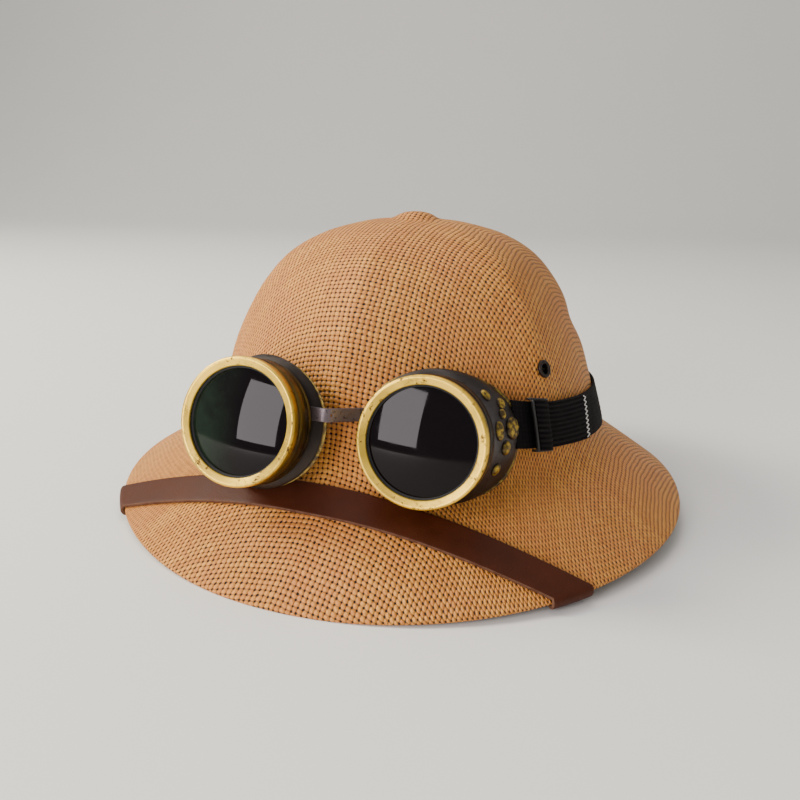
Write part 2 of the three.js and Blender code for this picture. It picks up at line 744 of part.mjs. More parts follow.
function bridgeBody(growth) {
  const [from, to] = bridgeEnds();
  const length = from.distanceTo(to);
  const strip = new THREE.BoxGeometry(
    length + 2 * growth, BRIDGE_THICKNESS + 2 * growth, BRIDGE_WIDTH + 2 * growth);
  const turn = new THREE.Quaternion().setFromUnitVectors(
    new THREE.Vector3(1, 0, 0), to.clone().sub(from).normalize());
  const middle = from.clone().lerp(to, 0.5);
  const matrix = new THREE.Matrix4().compose(middle, turn, new THREE.Vector3(1, 1, 1));
  let solid = toSolid(strip.applyMatrix4(matrix));
  if (growth > 0) return solid;
  for (const side of [-1, 1]) {
    const hole = new THREE.CylinderGeometry(
      BRIDGE_PIN_HOLE_RADIUS, BRIDGE_PIN_HOLE_RADIUS, TOOL_LENGTH, 12);
    hole.translate(side * (length / 2 - BRIDGE_PIN_INSET), 0, 0).applyMatrix4(matrix);
    solid = solid.subtract(toSolid(hole));
  }
  return solid;
}

function inFrame(solid, matrix) {
  return toSolid(toGeometry(solid).applyMatrix4(matrix.clone().invert()));
}

function goggleCup(eyepiece, neighbours) {
  let solid = cupBody(eyepiece.temple);
  for (const row of BOSSES) solid = solid.add(bossBody(row, eyepiece.temple));
  const matrix = eyepieceMatrix(eyepiece);
  for (const neighbour of neighbours) solid = solid.subtract(inFrame(neighbour, matrix));
  return toGeometry(solid);
}

// Materials

function material(color, roughness, metalness) {
  return new THREE.MeshStandardMaterial({ color, roughness, metalness });
}

const straw = () => material(0xb98a55, 0.85, 0);
const leather = () => material(0x4a1f14, 0.4, 0);
const elastic = () => material(0x141415, 0.8, 0);
const agedBrass = () => material(0xb99350, 0.4, 0.9);
const darkBronze = () => material(0x3d342a, 0.5, 0.6);
const gunmetal = () => material(0x4a4245, 0.45, 0.8);
const darkGlass = () => material(0x0a0c0d, 0.08, 0);
const rubber = () => material(0x101010, 0.7, 0);
const blackPlastic = () => material(0x121212, 0.5, 0);

function named(name, geometry, look) {
  const mesh = new THREE.Mesh(geometry, look);
  mesh.name = name;
  return mesh;
}

// Assembly

const helmet = new THREE.Group();
helmet.add(named('helmet_shell', helmetShell(), straw()));
helmet.add(named('brim_strap', brimStrap(), leather()));
helmet.add(named('elastic_strap', elasticStrap(), elastic()));
helmet.add(named('elastic_tail', elasticTail(), elastic()));
helmet.add(named('strap_slider', strapSlider(), blackPlastic()));
helmet.add(named('nose_bridge', toGeometry(bridgeBody(0)), gunmetal()));

for (const [side, name] of [[-1, 'right'], [1, 'left']]) {
  helmet.add(named(`strap_rivet_${name}`, strapRivet(side), gunmetal()));
  helmet.add(named(`vent_eyelet_${name}`, ventEyelet(side), gunmetal()));
}

const roomStations = elasticStations(ELASTIC_WIDTH + 2 * GAP, ELASTIC_END_ROOM);
const elasticRoom = toSolid(
  band(roomStations, ELASTIC_THICKNESS + 2 * GAP, 2, BAND_CLEARANCE - GAP));
const cupNeighbours = [helmetBlock(GAP), elasticRoom, bridgeBody(GAP)];

for (const eyepiece of EYEPIECES) {
  const group = new THREE.Group();
  group.applyMatrix4(eyepieceMatrix(eyepiece));
  const name = eyepiece.side;
  group.add(named(`goggle_cup_${name}`, goggleCup(eyepiece, cupNeighbours), darkBronze()));
  group.add(named(`bezel_ring_${name}`, bezelRing(), agedBrass()));
  group.add(named(`lens_gasket_${name}`, lensGasket(), rubber()));
  group.add(named(`lens_${name}`, lensDisc(), darkGlass()));
  helmet.add(group);
}

export default helmet;
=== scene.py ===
"""Looks of a straw pith helmet with goggles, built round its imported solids.

The helmet's form is one function of the angle round it and of the way from the top of the
crown to the edge of the brim. The straw, the leather strap and the elastic all follow it.
Lengths in the functions are in millimetres, and meshes are written in metres.
"""
import math

import bmesh
import bpy
import numpy as np
from bpy.props import FloatProperty, FloatVectorProperty, IntProperty, PointerProperty
from mathutils import Matrix, Vector


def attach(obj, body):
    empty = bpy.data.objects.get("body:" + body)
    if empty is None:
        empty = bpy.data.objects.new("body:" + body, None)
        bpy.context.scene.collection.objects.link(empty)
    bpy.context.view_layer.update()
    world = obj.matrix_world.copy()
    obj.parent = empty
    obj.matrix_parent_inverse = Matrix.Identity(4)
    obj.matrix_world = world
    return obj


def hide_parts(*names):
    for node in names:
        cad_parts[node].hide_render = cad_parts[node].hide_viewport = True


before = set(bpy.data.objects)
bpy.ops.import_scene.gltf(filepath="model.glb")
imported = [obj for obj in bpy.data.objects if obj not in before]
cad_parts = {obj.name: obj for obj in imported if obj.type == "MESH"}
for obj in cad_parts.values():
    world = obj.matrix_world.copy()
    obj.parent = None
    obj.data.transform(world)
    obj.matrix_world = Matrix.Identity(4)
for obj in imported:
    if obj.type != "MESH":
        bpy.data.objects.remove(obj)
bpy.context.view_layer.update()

bl_info = {
    "name": "Pith Helmet with Goggles",
    "version": (1, 0, 0),
    "blender": (4, 5, 0),
    "location": "View3D > Sidebar > Pith Helmet",
    "description": "Builds a woven straw pith helmet with strapped-on round goggles",
    "category": "Object",
}

MM = 0.001

# Straw shell, as in the part's source, but with sharper ridges
BRIM_LENGTH = 324
BRIM_WIDTH = 300
BRIM_WIDEST_Y = -12
BRIM_SIDE_LIFT = 8
BRIM_DROP_POWER = 1.05
CROWN_LENGTH = 215
CROWN_WIDTH = 209
CROWN_CENTRE_Y = 0
CROWN_BASE_Z = 37
CROWN_HEIGHT = 109.5
CROWN_RIDGES = 6
RIDGE_DEPTH = 0.062
RIDGE_SOFTNESS = 0.07
TOP_NUB_RADIUS = 13
TOP_NUB_HEIGHT = 3.6
STRAW_WALL = 2.2
FILLET_RISE = 2.2
FILLET_REACH = 1.012
REST_LAND_DEPTH = 0.7
CROWN_HEIGHTS = (0.98, 0.93, 0.84, 0.71, 0.56, 0.40, 0.24, 0.10)
CROWN_REACHES = (0.272, 0.462, 0.630, 0.755, 0.847, 0.918, 0.962, 0.994)
CROWN_RIDGE_SHARES = (0.60, 0.85, 1.00, 1.00, 1.00, 0.80, 0.45, 0.15)
NUB_REACHES = (0.30, 0.60, 1.00, 1.45)
NUB_HEIGHTS = (0.95, 0.72, 0.12, 0.00)
BRIM_SHARES = (0.16, 0.36, 0.58, 0.80, 1.00)
CORNER_INDEX = 1 + len(NUB_REACHES) + len(CROWN_HEIGHTS)
LAST_INDEX = CORNER_INDEX + len(BRIM_SHARES)
CORNER_U = CORNER_INDEX / LAST_INDEX

DENT_THETA = 114
DENT_Z = 93
DENT_DEPTH = 1.8
DENT_TURN = 13
DENT_RISE = 8
DENT_LEAST_REACH = 40

EYELET_THETAS = {"left": 61, "right": -119}
EYELET_Z = 84
EYELET_HOLE_RADIUS = 3.3

# Leather strap
LEATHER_LENGTH = 560
LEATHER_WIDTH = 17.6
LEATHER_THICKNESS = 1.8
STRAP_BACK_Y = -112
STRAP_FRONT_Y = -125.2
STRAP_ENDS = {-1: (-55.5, -46.5), 1: (53, 45)}
STRAP_BOW_POWER = 1.5
STRAP_ANCHORS = (91, 85)
STRAP_HIDDEN_SLACK = 0.5
BAND_CLEARANCE = 0.5
RIVET_WAY = 0.93
HIDDEN_BACK = (0.00, 0.31, 0.60, 0.80, 1.00)
HIDDEN_FRONT = (0.00, 0.18, 0.38, 0.66, 1.00)
HIDDEN_BACK_U = (1.00, 0.88, 0.75, 0.68, 0.64)
HIDDEN_FRONT_U = (1.00, 0.88, 0.75, 0.66, 0.59)

# Elastic strap
ELASTIC_WIDTH = 20.8
ELASTIC_THICKNESS = 1.5
ELASTIC_LEFT_THETA = 46
ELASTIC_RIGHT_THETA = 35
ELASTIC_FREE_ANGLE = 20
ELASTIC_FRONT_Z = 62.2
ELASTIC_BACK_Z = 50.5
ELASTIC_LEVEL_SHARE = 0.62
TAIL_CLEARANCE = BAND_CLEARANCE + 0.3 + ELASTIC_THICKNESS
TAIL_START_THETA = 53
TAIL_END_THETA = 77
TAIL_LEAN = 2.6
STITCH_TEETH = 9
THREAD_RADIUS = 0.25
SLIDER_START_THETA = 52
SLIDER_END_THETA = 58

# Goggles
BEZEL_RADIUS = 28.2
BEZEL_OPENING_RADIUS = 24.3
BEZEL_DEPTH = 16
BEZEL_WALL = 2.3
NECK_RADIUS = BEZEL_RADIUS - BEZEL_WALL - 0.3
RING_FRONT = BEZEL_DEPTH + 0.3
FLARE_FRONT = RING_FRONT + 1.4
CUP_WALL = 2
CUP_CLEARANCE = 0.4
CUP_RING_RADIUS = 27.3
CUP_NOSE_DEPTH = 20.5
CUP_TEMPLE_DEPTH = 46
CUP_FLANGE_RADIUS = 29.7
CUP_NOSE_FLARE = 1.8
CUP_TEMPLE_FLARE = 5
CUP_TEMPLE_POWER = 3
BRIDGE_WIDTH = 6
BRIDGE_RISE = 7.2
BRIDGE_THICKNESS = 1.2
BRIDGE_HOLE_SHARES = (0.32, 0.74)
BRIDGE_HOLE_RADIUS = 0.6
EYEPIECES = {
    "right": {"temple": -1, "place": (-30.6, -134.1, 68.1), "turn": -1.0, "tilt": 16.4},
    "left": {"temple": 1, "place": (47.7, -118.7, 65.2), "turn": 4.6, "tilt": 12.6},
}
# Kind, angle from the temple, way down the flare, and half widths round and along it
BOSSES = [
    ("stud", 45, 0.38, 2.6, 1.8),
    ("stud", 33, 0.58, 2.4, 2.2),
    ("stud", 25, 0.46, 2.2, 1.8),
    ("oval", 12, 0.28, 4.0, 2.6),
    ("flower", 12, 0.62, 4.6, 4.6),
    ("stud", -3, 0.44, 3.0, 2.8),
    ("stud", -22, 0.38, 2.8, 2.2),
]
BOSS_SCALE = 1.12


def color_setting(name, description, default):
    """A colour that the panel shows."""
    return FloatVectorProperty(
        name=name, description=description, default=default, size=3, subtype="COLOR")


def length_setting(name, description, default, smallest, largest):
    """A length in metres that the panel shows."""
    return FloatProperty(
        name=name, description=description, default=default, min=smallest, max=largest,
        unit="LENGTH")


class HelmetSettings(bpy.types.PropertyGroup):
    """Sizes and colours of the straw shell"""
    warp_pitch: length_setting(
        "Warp pitch", "Distance between two strands that run front to back", 0.0026, 0.0005, 0.01)
    weft_pitch: length_setting(
        "Weft pitch", "Distance between two strands that run side to side", 0.00235, 0.0005, 0.01)
    straw_color: color_setting("Straw", "Main colour of the straw", (0.54, 0.172, 0.024))
    straw_light: color_setting(
        "Light straw", "Colour of the lighter strands", (0.90, 0.405, 0.070))
    lining_color: color_setting(
        "Lining", "Colour of the cotton inside the helmet", (0.36, 0.27, 0.17))


class StrapSettings(bpy.types.PropertyGroup):
    """Colours of the leather strap"""
    leather_color: color_setting(
        "Leather", "Main colour of the leather", (0.056, 0.0112, 0.0022))
    edge_color: color_setting(
        "Cut edge", "Colour of the leather's cut edges", (0.13, 0.062, 0.036))


class ElasticSettings(bpy.types.PropertyGroup):
    """Sizes and colours of the elastic strap"""
    rib_count: IntProperty(
        name="Ribs", description="Ribs across the webbing", default=10, min=2, max=24)
    rib_height: length_setting("Rib height", "Height of a rib of the webbing", 0.0005, 0, 0.001)
    webbing_color: color_setting("Webbing", "Colour of the webbing", (0.0012, 0.0010, 0.0011))
    stitch_color: color_setting("Stitches", "Colour of the zigzag stitches", (0.90, 0.89, 0.86))


class GoggleSettings(bpy.types.PropertyGroup):
    """Colours of the goggles, and of the other metal pieces"""
    brass_color: color_setting("Aged brass", "Colour of the bezel rings", (1.0, 0.66, 0.075))
    bronze_color: color_setting("Dark bronze", "Colour of the cups", (0.022, 0.016, 0.013))
    lens_color: color_setting("Lens", "Colour of the dark lenses", (0.0030, 0.0014, 0.0022))
    gunmetal_color: color_setting(
        "Gunmetal", "Colour of the nose bridge and the rivets", (0.19, 0.155, 0.165))


class StageSettings(bpy.types.PropertyGroup):
    """Floor, lights and camera"""
    floor_color: color_setting("Floor", "Colour of the pale floor", (0.90, 0.89, 0.85))
    key_power: FloatProperty(
        name="Key light", description="Power of the large soft light", default=34.0,
        min=0, unit="POWER")
    lens_length: FloatProperty(
        name="Lens", description="Focal length in millimetres on a 36 mm sensor",
        default=36.439, min=10, max=200)


# Form of the helmet

def crown_base(theta):
    """Points of the crown's base at the given angles."""
    return np.stack([
        CROWN_WIDTH / 2 * np.sin(theta),
        CROWN_CENTRE_Y - CROWN_LENGTH / 2 * np.cos(theta),
        np.full_like(theta, CROWN_BASE_Z)], -1)


def brim_edge(theta):
    """Points of the brim's edge at the given angles."""
    reach = BRIM_LENGTH / 2 + np.sign(np.cos(theta)) * BRIM_WIDEST_Y
    rise = STRAW_WALL + BRIM_SIDE_LIFT * np.sin(theta) ** 2 - REST_LAND_DEPTH
    return np.stack([
        BRIM_WIDTH / 2 * np.sin(theta), BRIM_WIDEST_Y - reach * np.cos(theta), rise], -1)


def ridge_gain(theta, share):
    """Share of the reach left: one on a ridge, less in the panel between two ridges."""
    turn = theta / (2 * np.pi / CROWN_RIDGES)
    across = np.sin(np.pi * np.abs(turn - np.round(turn)))
    soft = np.hypot(across, RIDGE_SOFTNESS) - RIDGE_SOFTNESS
    full = math.hypot(1, RIDGE_SOFTNESS) - RIDGE_SOFTNESS
    return 1 - RIDGE_DEPTH * share * soft / full


def dome_height(reach):
    """Height of the plain dome under the top nub."""
    share = reach / (CROWN_WIDTH / 2) / CROWN_REACHES[0]
    return CROWN_HEIGHT * (1 - (1 - CROWN_HEIGHTS[0]) * share ** 2)


def section(theta):
    """Points that the helmet's section runs through at each angle, from apex to edge."""
    base, edge = crown_base(theta), brim_edge(theta)
    centre = np.zeros_like(base) + (0, CROWN_CENTRE_Y, CROWN_BASE_Z)
    points = [centre + (0, 0, CROWN_HEIGHT + TOP_NUB_HEIGHT)]
    for reach_share, height in zip(NUB_REACHES, NUB_HEIGHTS):
        reach = reach_share * TOP_NUB_RADIUS
        point = centre.copy()
        point[:, 0] += reach * np.sin(theta)
        point[:, 1] -= reach * np.cos(theta)
        point[:, 2] += dome_height(reach) + height * TOP_NUB_HEIGHT
        points.append(point)
    for height, reach, ridge in zip(CROWN_HEIGHTS, CROWN_REACHES, CROWN_RIDGE_SHARES):
        point = centre + (base - centre) * (reach * ridge_gain(theta, ridge))[:, None]
        point[:, 2] = CROWN_BASE_Z + CROWN_HEIGHT * height
        points.append(point)
    corner = centre + (base - centre) * FILLET_REACH
    corner[:, 2] = CROWN_BASE_Z + FILLET_RISE
    points.append(corner)
    for share in BRIM_SHARES:
        point = base + (edge - base) * share
        point[:, 2] = base[:, 2] + (edge[:, 2] - base[:, 2]) * share ** BRIM_DROP_POWER
        points.append(point)
    return np.array(points)


def surface(theta, u):
    """Points of the outer face at the angles theta and the shares u of the section."""
    theta, u = np.broadcast_arrays(np.asarray(theta, float), np.asarray(u, float))
    shape = theta.shape
    theta, u = theta.ravel(), u.ravel()
    points = section(theta)
    points = np.concatenate([
        [2 * points[0] - points[1]], points, [2 * points[-1] - points[-2]]])
    way = np.clip(u, 0, 1) * LAST_INDEX
    step = np.minimum(way.astype(int), LAST_INDEX - 1)
    t = (way - step)[:, None]
    column = np.arange(len(theta))
    a, b, c, d = (points[step + k, column] for k in range(4))
    start, end = (c - a) / 2, (d - b) / 2
    place = (2 * b - 2 * c + start + end) * t ** 3
    place += (3 * c - 3 * b - 2 * start - end) * t ** 2 + start * t + b
    return place.reshape(shape + (3,))


def unit(vectors):
    """Vectors of length one along the last axis."""
    return vectors / np.linalg.norm(vectors, axis=-1, keepdims=True)


def offset(theta, u, outward):
    """Points at a distance outward from the outer face."""
    theta, u, outward = np.broadcast_arrays(
        np.asarray(theta, float), np.asarray(u, float), np.asarray(outward, float))
    step = 1e-3
    down = surface(theta, np.minimum(u + step, 1)) - surface(theta, np.maximum(u - step, 0))
    around = surface(theta + step, u) - surface(theta - step, u)
    normal = -np.cross(around, down)
    length = np.linalg.norm(normal, axis=-1, keepdims=True)
    normal = np.where(length > 1e-9, normal / np.maximum(length, 1e-9), (0, 0, 1))
    return surface(theta, u) + normal * outward[..., None]


def edge_point(theta, half_turn, reach):
    """Points round the brim's rounded edge: half turn 0 is above and 1 below."""
    theta, half_turn = np.broadcast_arrays(np.asarray(theta, float), half_turn)
    inside, outside = offset(theta, 1, -STRAW_WALL), surface(theta, np.ones_like(theta))
    normal = (outside - inside) / STRAW_WALL
    down = unit(outside - surface(theta, np.full_like(theta, 0.999)))
    angle = np.pi * np.asarray(half_turn)[..., None]
    radius = STRAW_WALL / 2 + np.broadcast_to(reach, theta.shape)[..., None]
    return (inside + outside) / 2 + radius * (np.cos(angle) * normal + np.sin(angle) * down)


def halved(first, last, holds, steps):
    """Two ends closing in on the place up to which a test holds, seen from the first end."""
    for _ in range(steps):
        middle = (first + last) / 2
        fine = holds(middle)
        first, last = np.where(fine, middle, first), np.where(fine, last, middle)
    return first, last


def crown_share_at(theta, z):
    """Share of the section at which the crown has the height z."""
    theta, z = np.broadcast_arrays(np.asarray(theta, float), np.asarray(z, float))

    def is_above(share):
        return surface(theta, share)[..., 2] > z

    high, low = halved(np.zeros_like(theta), np.full_like(theta, CORNER_U), is_above, 22)
    return (high + low) / 2


def brim_place(x, y):
    """Angle and share of the point of the brim above a point of the plan."""
    wanted = np.hypot(x, y - CROWN_CENTRE_Y)

    def is_right_of(theta):
        base, edge = crown_base(theta), brim_edge(theta)
        return ((edge[..., 0] - base[..., 0]) * (y - base[..., 1])
                - (edge[..., 1] - base[..., 1]) * (x - base[..., 0])) > 0

    left, right = halved(np.full_like(x, -1.9), np.full_like(x, 1.9), is_right_of, 36)
    theta = (left + right) / 2

    def is_short(share):
        point = surface(theta, share)
        return np.hypot(point[..., 0], point[..., 1] - CROWN_CENTRE_Y) < wanted

    near, far = halved(np.full_like(x, CORNER_U), np.ones_like(x), is_short, 24)
    return theta, (near + far) / 2


# How the woven cloth lies on the form

NET_STEP = 4.0
STEEPEST_SLOPE = 0.42
CLOSED_WEAVE = 0.66
OPEN_WEAVE = 0.92


def mean_profile():
    """Arc length, radius and depth of a plain round form like the helmet's."""
    u = np.linspace(0, 1, 400)
    front, side = surface(0.0, u), surface(np.pi / 2, u)
    radius = (np.abs(front[:, 1] - CROWN_CENTRE_Y) + np.abs(side[:, 0])) / 2
    height = (front[:, 2] + side[:, 2]) / 2
    run = np.hypot(np.diff(radius), np.diff(height))
    arc = np.concatenate([[0], np.cumsum(run)])
    slope = np.clip(np.diff(radius) / np.maximum(run, 1e-9), STEEPEST_SLOPE, 1)
    slope = np.convolve(np.pad(slope, 12, mode="edge"), np.ones(25) / 25, mode="valid")
    return u, arc, slope


def cloth_net():
    """Nodes of a square net of cloth laid over the form from the apex, for one quarter.

    Every step of the net has the same length, so the cloth shears where the crown turns
    down between front and side, as woven cloth does."""
    _, arc, slope = mean_profile()
    run = np.diff(arc)
    beyond = np.arange(1, 40) * NET_STEP
    arc = np.concatenate([arc, arc[-1] + beyond])
    slope = np.concatenate([slope, np.full(len(beyond), slope[-1])])
    run = np.concatenate([run, np.full(len(beyond), NET_STEP)])
    radius = np.concatenate([[0], np.cumsum(slope * run)])
    depth = np.concatenate([[0], np.cumsum(np.sqrt(1 - slope ** 2 + 1e-9) * run)])

    def place(way, angle):
        reach, drop = np.interp(way, arc, radius), np.interp(way, arc, depth)
        return np.stack([reach * np.sin(angle), reach * np.cos(angle), -drop], -1)

    count = int(1.12 * arc[-len(beyond) - 1] / NET_STEP)
    way, angle = np.zeros((count, count)), np.zeros((count, count))
    way[0, :] = way[:, 0] = np.arange(count) * NET_STEP
    angle[1:, 0] = np.pi / 2
    for k in range(2, 2 * count - 1):
        i = np.arange(max(1, k - count + 1), min(k, count))
        j = k - i
        a = place(way[i - 1, j], angle[i - 1, j])
        b = place(way[i, j - 1], angle[i, j - 1])
        c = place(way[i - 1, j - 1], angle[i - 1, j - 1])
        guess = a + b - c
        turn = np.arctan2(guess[:, 0], guess[:, 1])
        along = np.interp(np.hypot(guess[:, 0], guess[:, 1]), radius, arc)
        for _ in range(10):
            here, eps = place(along, turn), 1e-3
            d_way = (place(along + eps, turn) - here) / eps
            d_turn = (place(along, turn + eps) - here) / eps
            f = ((here - a) ** 2).sum(-1) - NET_STEP ** 2
            g = ((here - b) ** 2).sum(-1) - NET_STEP ** 2
            fa, ft = 2 * ((here - a) * d_way).sum(-1), 2 * ((here - a) * d_turn).sum(-1)
            ga, gt = 2 * ((here - b) * d_way).sum(-1), 2 * ((here - b) * d_turn).sum(-1)
            det = fa * gt - ft * ga
            det = np.where(np.abs(det) < 1e-6, 1e-6, det)
            along = along - np.clip((f * gt - ft * g) / det, -2, 2)
            turn = turn - np.clip((fa * g - f * ga) / det, -0.1, 0.1)
        way[i, j], angle[i, j] = np.clip(along, 0, arc[-1]), np.clip(turn, 0, np.pi / 2)
    node = place(way, angle)
    warp, weft = np.diff(node, axis=0)[:, :-1], np.diff(node, axis=1)[:-1, :]
    lengths = np.linalg.norm(warp, axis=-1) * np.linalg.norm(weft, axis=-1)
    opening = np.linalg.norm(np.cross(warp, weft), axis=-1) / np.maximum(lengths, 1e-6)
    opening = np.pad(opening, ((0, 1), (0, 1)), mode="edge")
    return way * np.sin(angle), way * np.cos(angle), opening


def sample(table, a, b):
    """Value and the two slopes of a table between its nodes."""
    last = len(table) - 1.001
    a, b = np.clip(a, 0, last), np.clip(b, 0, last)
    i, j = a.astype(int), b.astype(int)
    p, q = a - i, b - j
    n00, n10, n01, n11 = table[i, j], table[i + 1, j], table[i, j + 1], table[i + 1, j + 1]
    value = (n00 * (1 - p) + n10 * p) * (1 - q) + (n01 * (1 - p) + n11 * p) * q
    return value, (n10 - n00) * (1 - q) + (n11 - n01) * q, (n01 - n00) * (1 - p) + (n11 - n10) * p


def strand_places(theta, shares):
    """Strand coordinates in millimetres of cloth, and how open the weave is there.

    theta holds the angles of the columns and shares the rows' shares of the section."""
    side_table, front_table, opening = cloth_net()
    u, arc, _ = mean_profile()
    folded = np.arctan2(np.abs(np.sin(theta)), np.abs(np.cos(theta)))
    ways = np.interp(shares, u, arc)
    a, b = np.zeros_like(folded), np.zeros_like(folded)
    side, front, open_share = [], [], []
    before = None
    for way in ways:
        if before and way > before:
            a, b = a * way / before, b * way / before
        else:
            a, b = way * np.sin(folded) / NET_STEP, way * np.cos(folded) / NET_STEP
        for _ in range(12):
            x, xa, xb = sample(side_table, a, b)
            y, ya, yb = sample(front_table, a, b)
            f, g = x - way * np.sin(folded), y - way * np.cos(folded)
            det = xa * yb - xb * ya
            det = np.where(np.abs(det) < 1e-3, 1e-3, det)
            a = np.clip(a - np.clip((f * yb - xb * g) / det, -1, 1), 0, None)
            b = np.clip(b - np.clip((xa * g - f * ya) / det, -1, 1), 0, None)
        before = way if way > 1 else None
        side.append(a * NET_STEP * np.sign(np.sin(theta)))
        front.append(b * NET_STEP * np.sign(np.cos(theta)))
        open_share.append(sample(opening, a, b)[0])
    return np.array(side), np.array(front), np.array(open_share)


# Meshes

def new_piece(name, bm, material, node=None):
    """Makes a piece of a bmesh, and lets it ride and stand for its node."""
    for face in bm.faces:
        face.smooth = True
    mesh = bpy.data.meshes.new(name)
    bm.to_mesh(mesh)
    bm.free()
    piece = bpy.data.objects.new(name, mesh)
    bpy.context.scene.collection.objects.link(piece)
    mesh.materials.append(material)
    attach(piece, "root")
    if node:
        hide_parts(node)
    return piece


def formed_grid(place, uv=None, marks=None):
    """A grid whose vertex in row i and column j goes to place[i, j], in millimetres."""
    rows, columns = place.shape[0] - 1, place.shape[1] - 1
    bm = bmesh.new()
    uv_layer = bm.loops.layers.uv.new("UVMap")
    bmesh.ops.create_grid(bm, x_segments=columns, y_segments=rows, size=0.5)
    layers = {key: bm.verts.layers.float.new(key) for key in (marks or {})}
    spot = {}
    for vert in bm.verts:
        i, j = round((vert.co.y + 0.5) * rows), round((vert.co.x + 0.5) * columns)
        spot[vert] = (i, j)
        for key, layer in layers.items():
            vert[layer] = float(marks[key][i, j])
    for face in bm.faces:
        for loop in face.loops:
            i, j = spot[loop.vert]
            loop[uv_layer].uv = uv[i, j] if uv is not None else (j / columns, i / rows)
    for vert, (i, j) in spot.items():
        vert.co = Vector(place[i, j]) * MM
    bmesh.ops.remove_doubles(bm, verts=bm.verts, dist=1e-6)
    return bm


def close_ends(bm):
    """Fills the open ends of a tube and turns its faces outward."""
    border = [edge for edge in bm.edges if edge.is_boundary]
    if border:
        bmesh.ops.holes_fill(bm, edges=border, sides=0)
    bmesh.ops.recalc_face_normals(bm, faces=bm.faces)
    return bm


def arc_points(centre, radius, start, end, steps):
    """Points of an arc in a section, its angles in degrees."""
    turns = np.radians(np.linspace(start, end, steps + 1))
    return [(centre[0] + radius * math.cos(t), centre[1] + radius * math.sin(t)) for t in turns]


def band_profile(width, thickness, rounding, top_steps=12, ribs=0, rib_height=0):
    """Closed section of a flat band: distance across and height over its lower face."""
    half, side = width / 2, width / 2 - rounding
    across = np.linspace(-side, side, top_steps + 1)
    top = thickness + rib_height * (np.cos(2 * np.pi * ribs * (across + half) / width) - 1) / 2
    points = list(zip(across, top))
    points += arc_points((side, thickness - rounding), rounding, 90, 0, 3)[1:]
    points += arc_points((side, rounding), rounding, 0, -90, 3)
    points.append((0, 0))
    points += arc_points((-side, rounding), rounding, -90, -180, 3)
    points += arc_points((-side, thickness - rounding), rounding, 180, 90, 3)[:-1]
    points.append(points[0])
    return np.array(points)


def swept_band(place, profile, length, marks=None):
    """A closed band of stations and section points, with its UV map in millimetres."""
    run = np.linalg.norm(np.diff(profile, axis=0), axis=1)
    around = np.concatenate([[0], np.cumsum(run)])
    along = np.linspace(0, length, place.shape[0])
    uv = np.stack(np.broadcast_arrays(along[:, None], around[None, :]), -1)
    return close_ends(formed_grid(place, uv, marks))


def spun(profile, steps, matrix, closed=True):
    """A body turned about its Y axis from (radius, distance back) points, then placed."""
    bm = bmesh.new()
    verts = [bm.verts.new((radius * MM, back * MM, 0)) for radius, back in profile]
    edges = [bm.edges.new(pair) for pair in zip(verts, verts[1:])]
    if closed:
        edges.append(bm.edges.new((verts[-1], verts[0])))
    bmesh.ops.spin(
        bm, geom=verts + edges, cent=(0, 0, 0), axis=(0, 1, 0), dvec=(0, 0, 0),
        angle=2 * math.pi, steps=steps, space=Matrix.Identity(4), use_merge=True,
        use_normal_flip=False, use_duplicate=False)
    bmesh.ops.remove_doubles(bm, verts=bm.verts, dist=1e-6)
    bmesh.ops.recalc_face_normals(bm, faces=bm.faces)
    bmesh.ops.transform(bm, matrix=matrix, verts=bm.verts)
    return bm


# Node groups and materials

class NodePen:
    """Adds nodes to a tree, with inputs given as values or as other nodes' outputs."""

    def __init__(self, tree):
        self.tree = tree

    def node(self, kind, output=0, **settings):
        inputs = settings.pop("inputs", {})
        made = self.tree.nodes.new(kind)
        for key, value in settings.items():
            setattr(made, key, value)
        for key, value in inputs.items():
            if isinstance(value, bpy.types.NodeSocket):
                self.tree.links.new(value, made.inputs[key])
            else:
                made.inputs[key].default_value = value
        return made.outputs[output]

    def math(self, operation, a, b=0.0, clamp=False):
        return self.node("ShaderNodeMath", operation=operation, use_clamp=clamp,
                         inputs={0: a, 1: b})

    def times(self, a, b):
        return self.math("MULTIPLY", a, b)

    def plus(self, a, b, clamp=False):
        return self.math("ADD", a, b, clamp)

    def minus(self, a, b):
        return self.math("SUBTRACT", a, b)

    def ramp(self, value, low, high, to_low=0.0, to_high=1.0):
        return self.node("ShaderNodeMapRange", interpolation_type="SMOOTHSTEP", inputs={
            "Value": value, "From Min": low, "From Max": high,
            "To Min": to_low, "To Max": to_high})

    def mix(self, factor, a, b):
        made = self.tree.nodes.new("ShaderNodeMix")
        made.data_type = "RGBA"
        for key, value in ((0, factor), (6, a), (7, b)):
            if isinstance(value, bpy.types.NodeSocket):
                self.tree.links.new(value, made.inputs[key])
            else:
                made.inputs[key].default_value = (*value, 1) if key else value
        return made.outputs[2]

    def attribute(self, name):
        return self.node("ShaderNodeAttribute", "Fac", attribute_name=name)

    def strands(self, *scale):
        """The cloth's own UV map, scaled."""
        place = self.node("ShaderNodeUVMap", uv_map="UVMap")
        return self.node("ShaderNodeVectorMath", operation="MULTIPLY", inputs={0: place, 1: scale})

    def noise(self, vector, scale, detail=2.0, roughness=0.5, distortion=0.0):
        return self.node("ShaderNodeTexNoise", inputs={
            "Vector": vector, "Scale": scale, "Detail": detail, "Roughness": roughness,
            "Distortion": distortion})

    def group(self, tree, **inputs):
        made = self.tree.nodes.new("ShaderNodeGroup")
        made.node_tree = tree
        for key, value in inputs.items():
            key = key.replace("_", " ")
            if isinstance(value, bpy.types.NodeSocket):
                self.tree.links.new(value, made.inputs[key])
            else:
                made.inputs[key].default_value = value
        return made.outputs


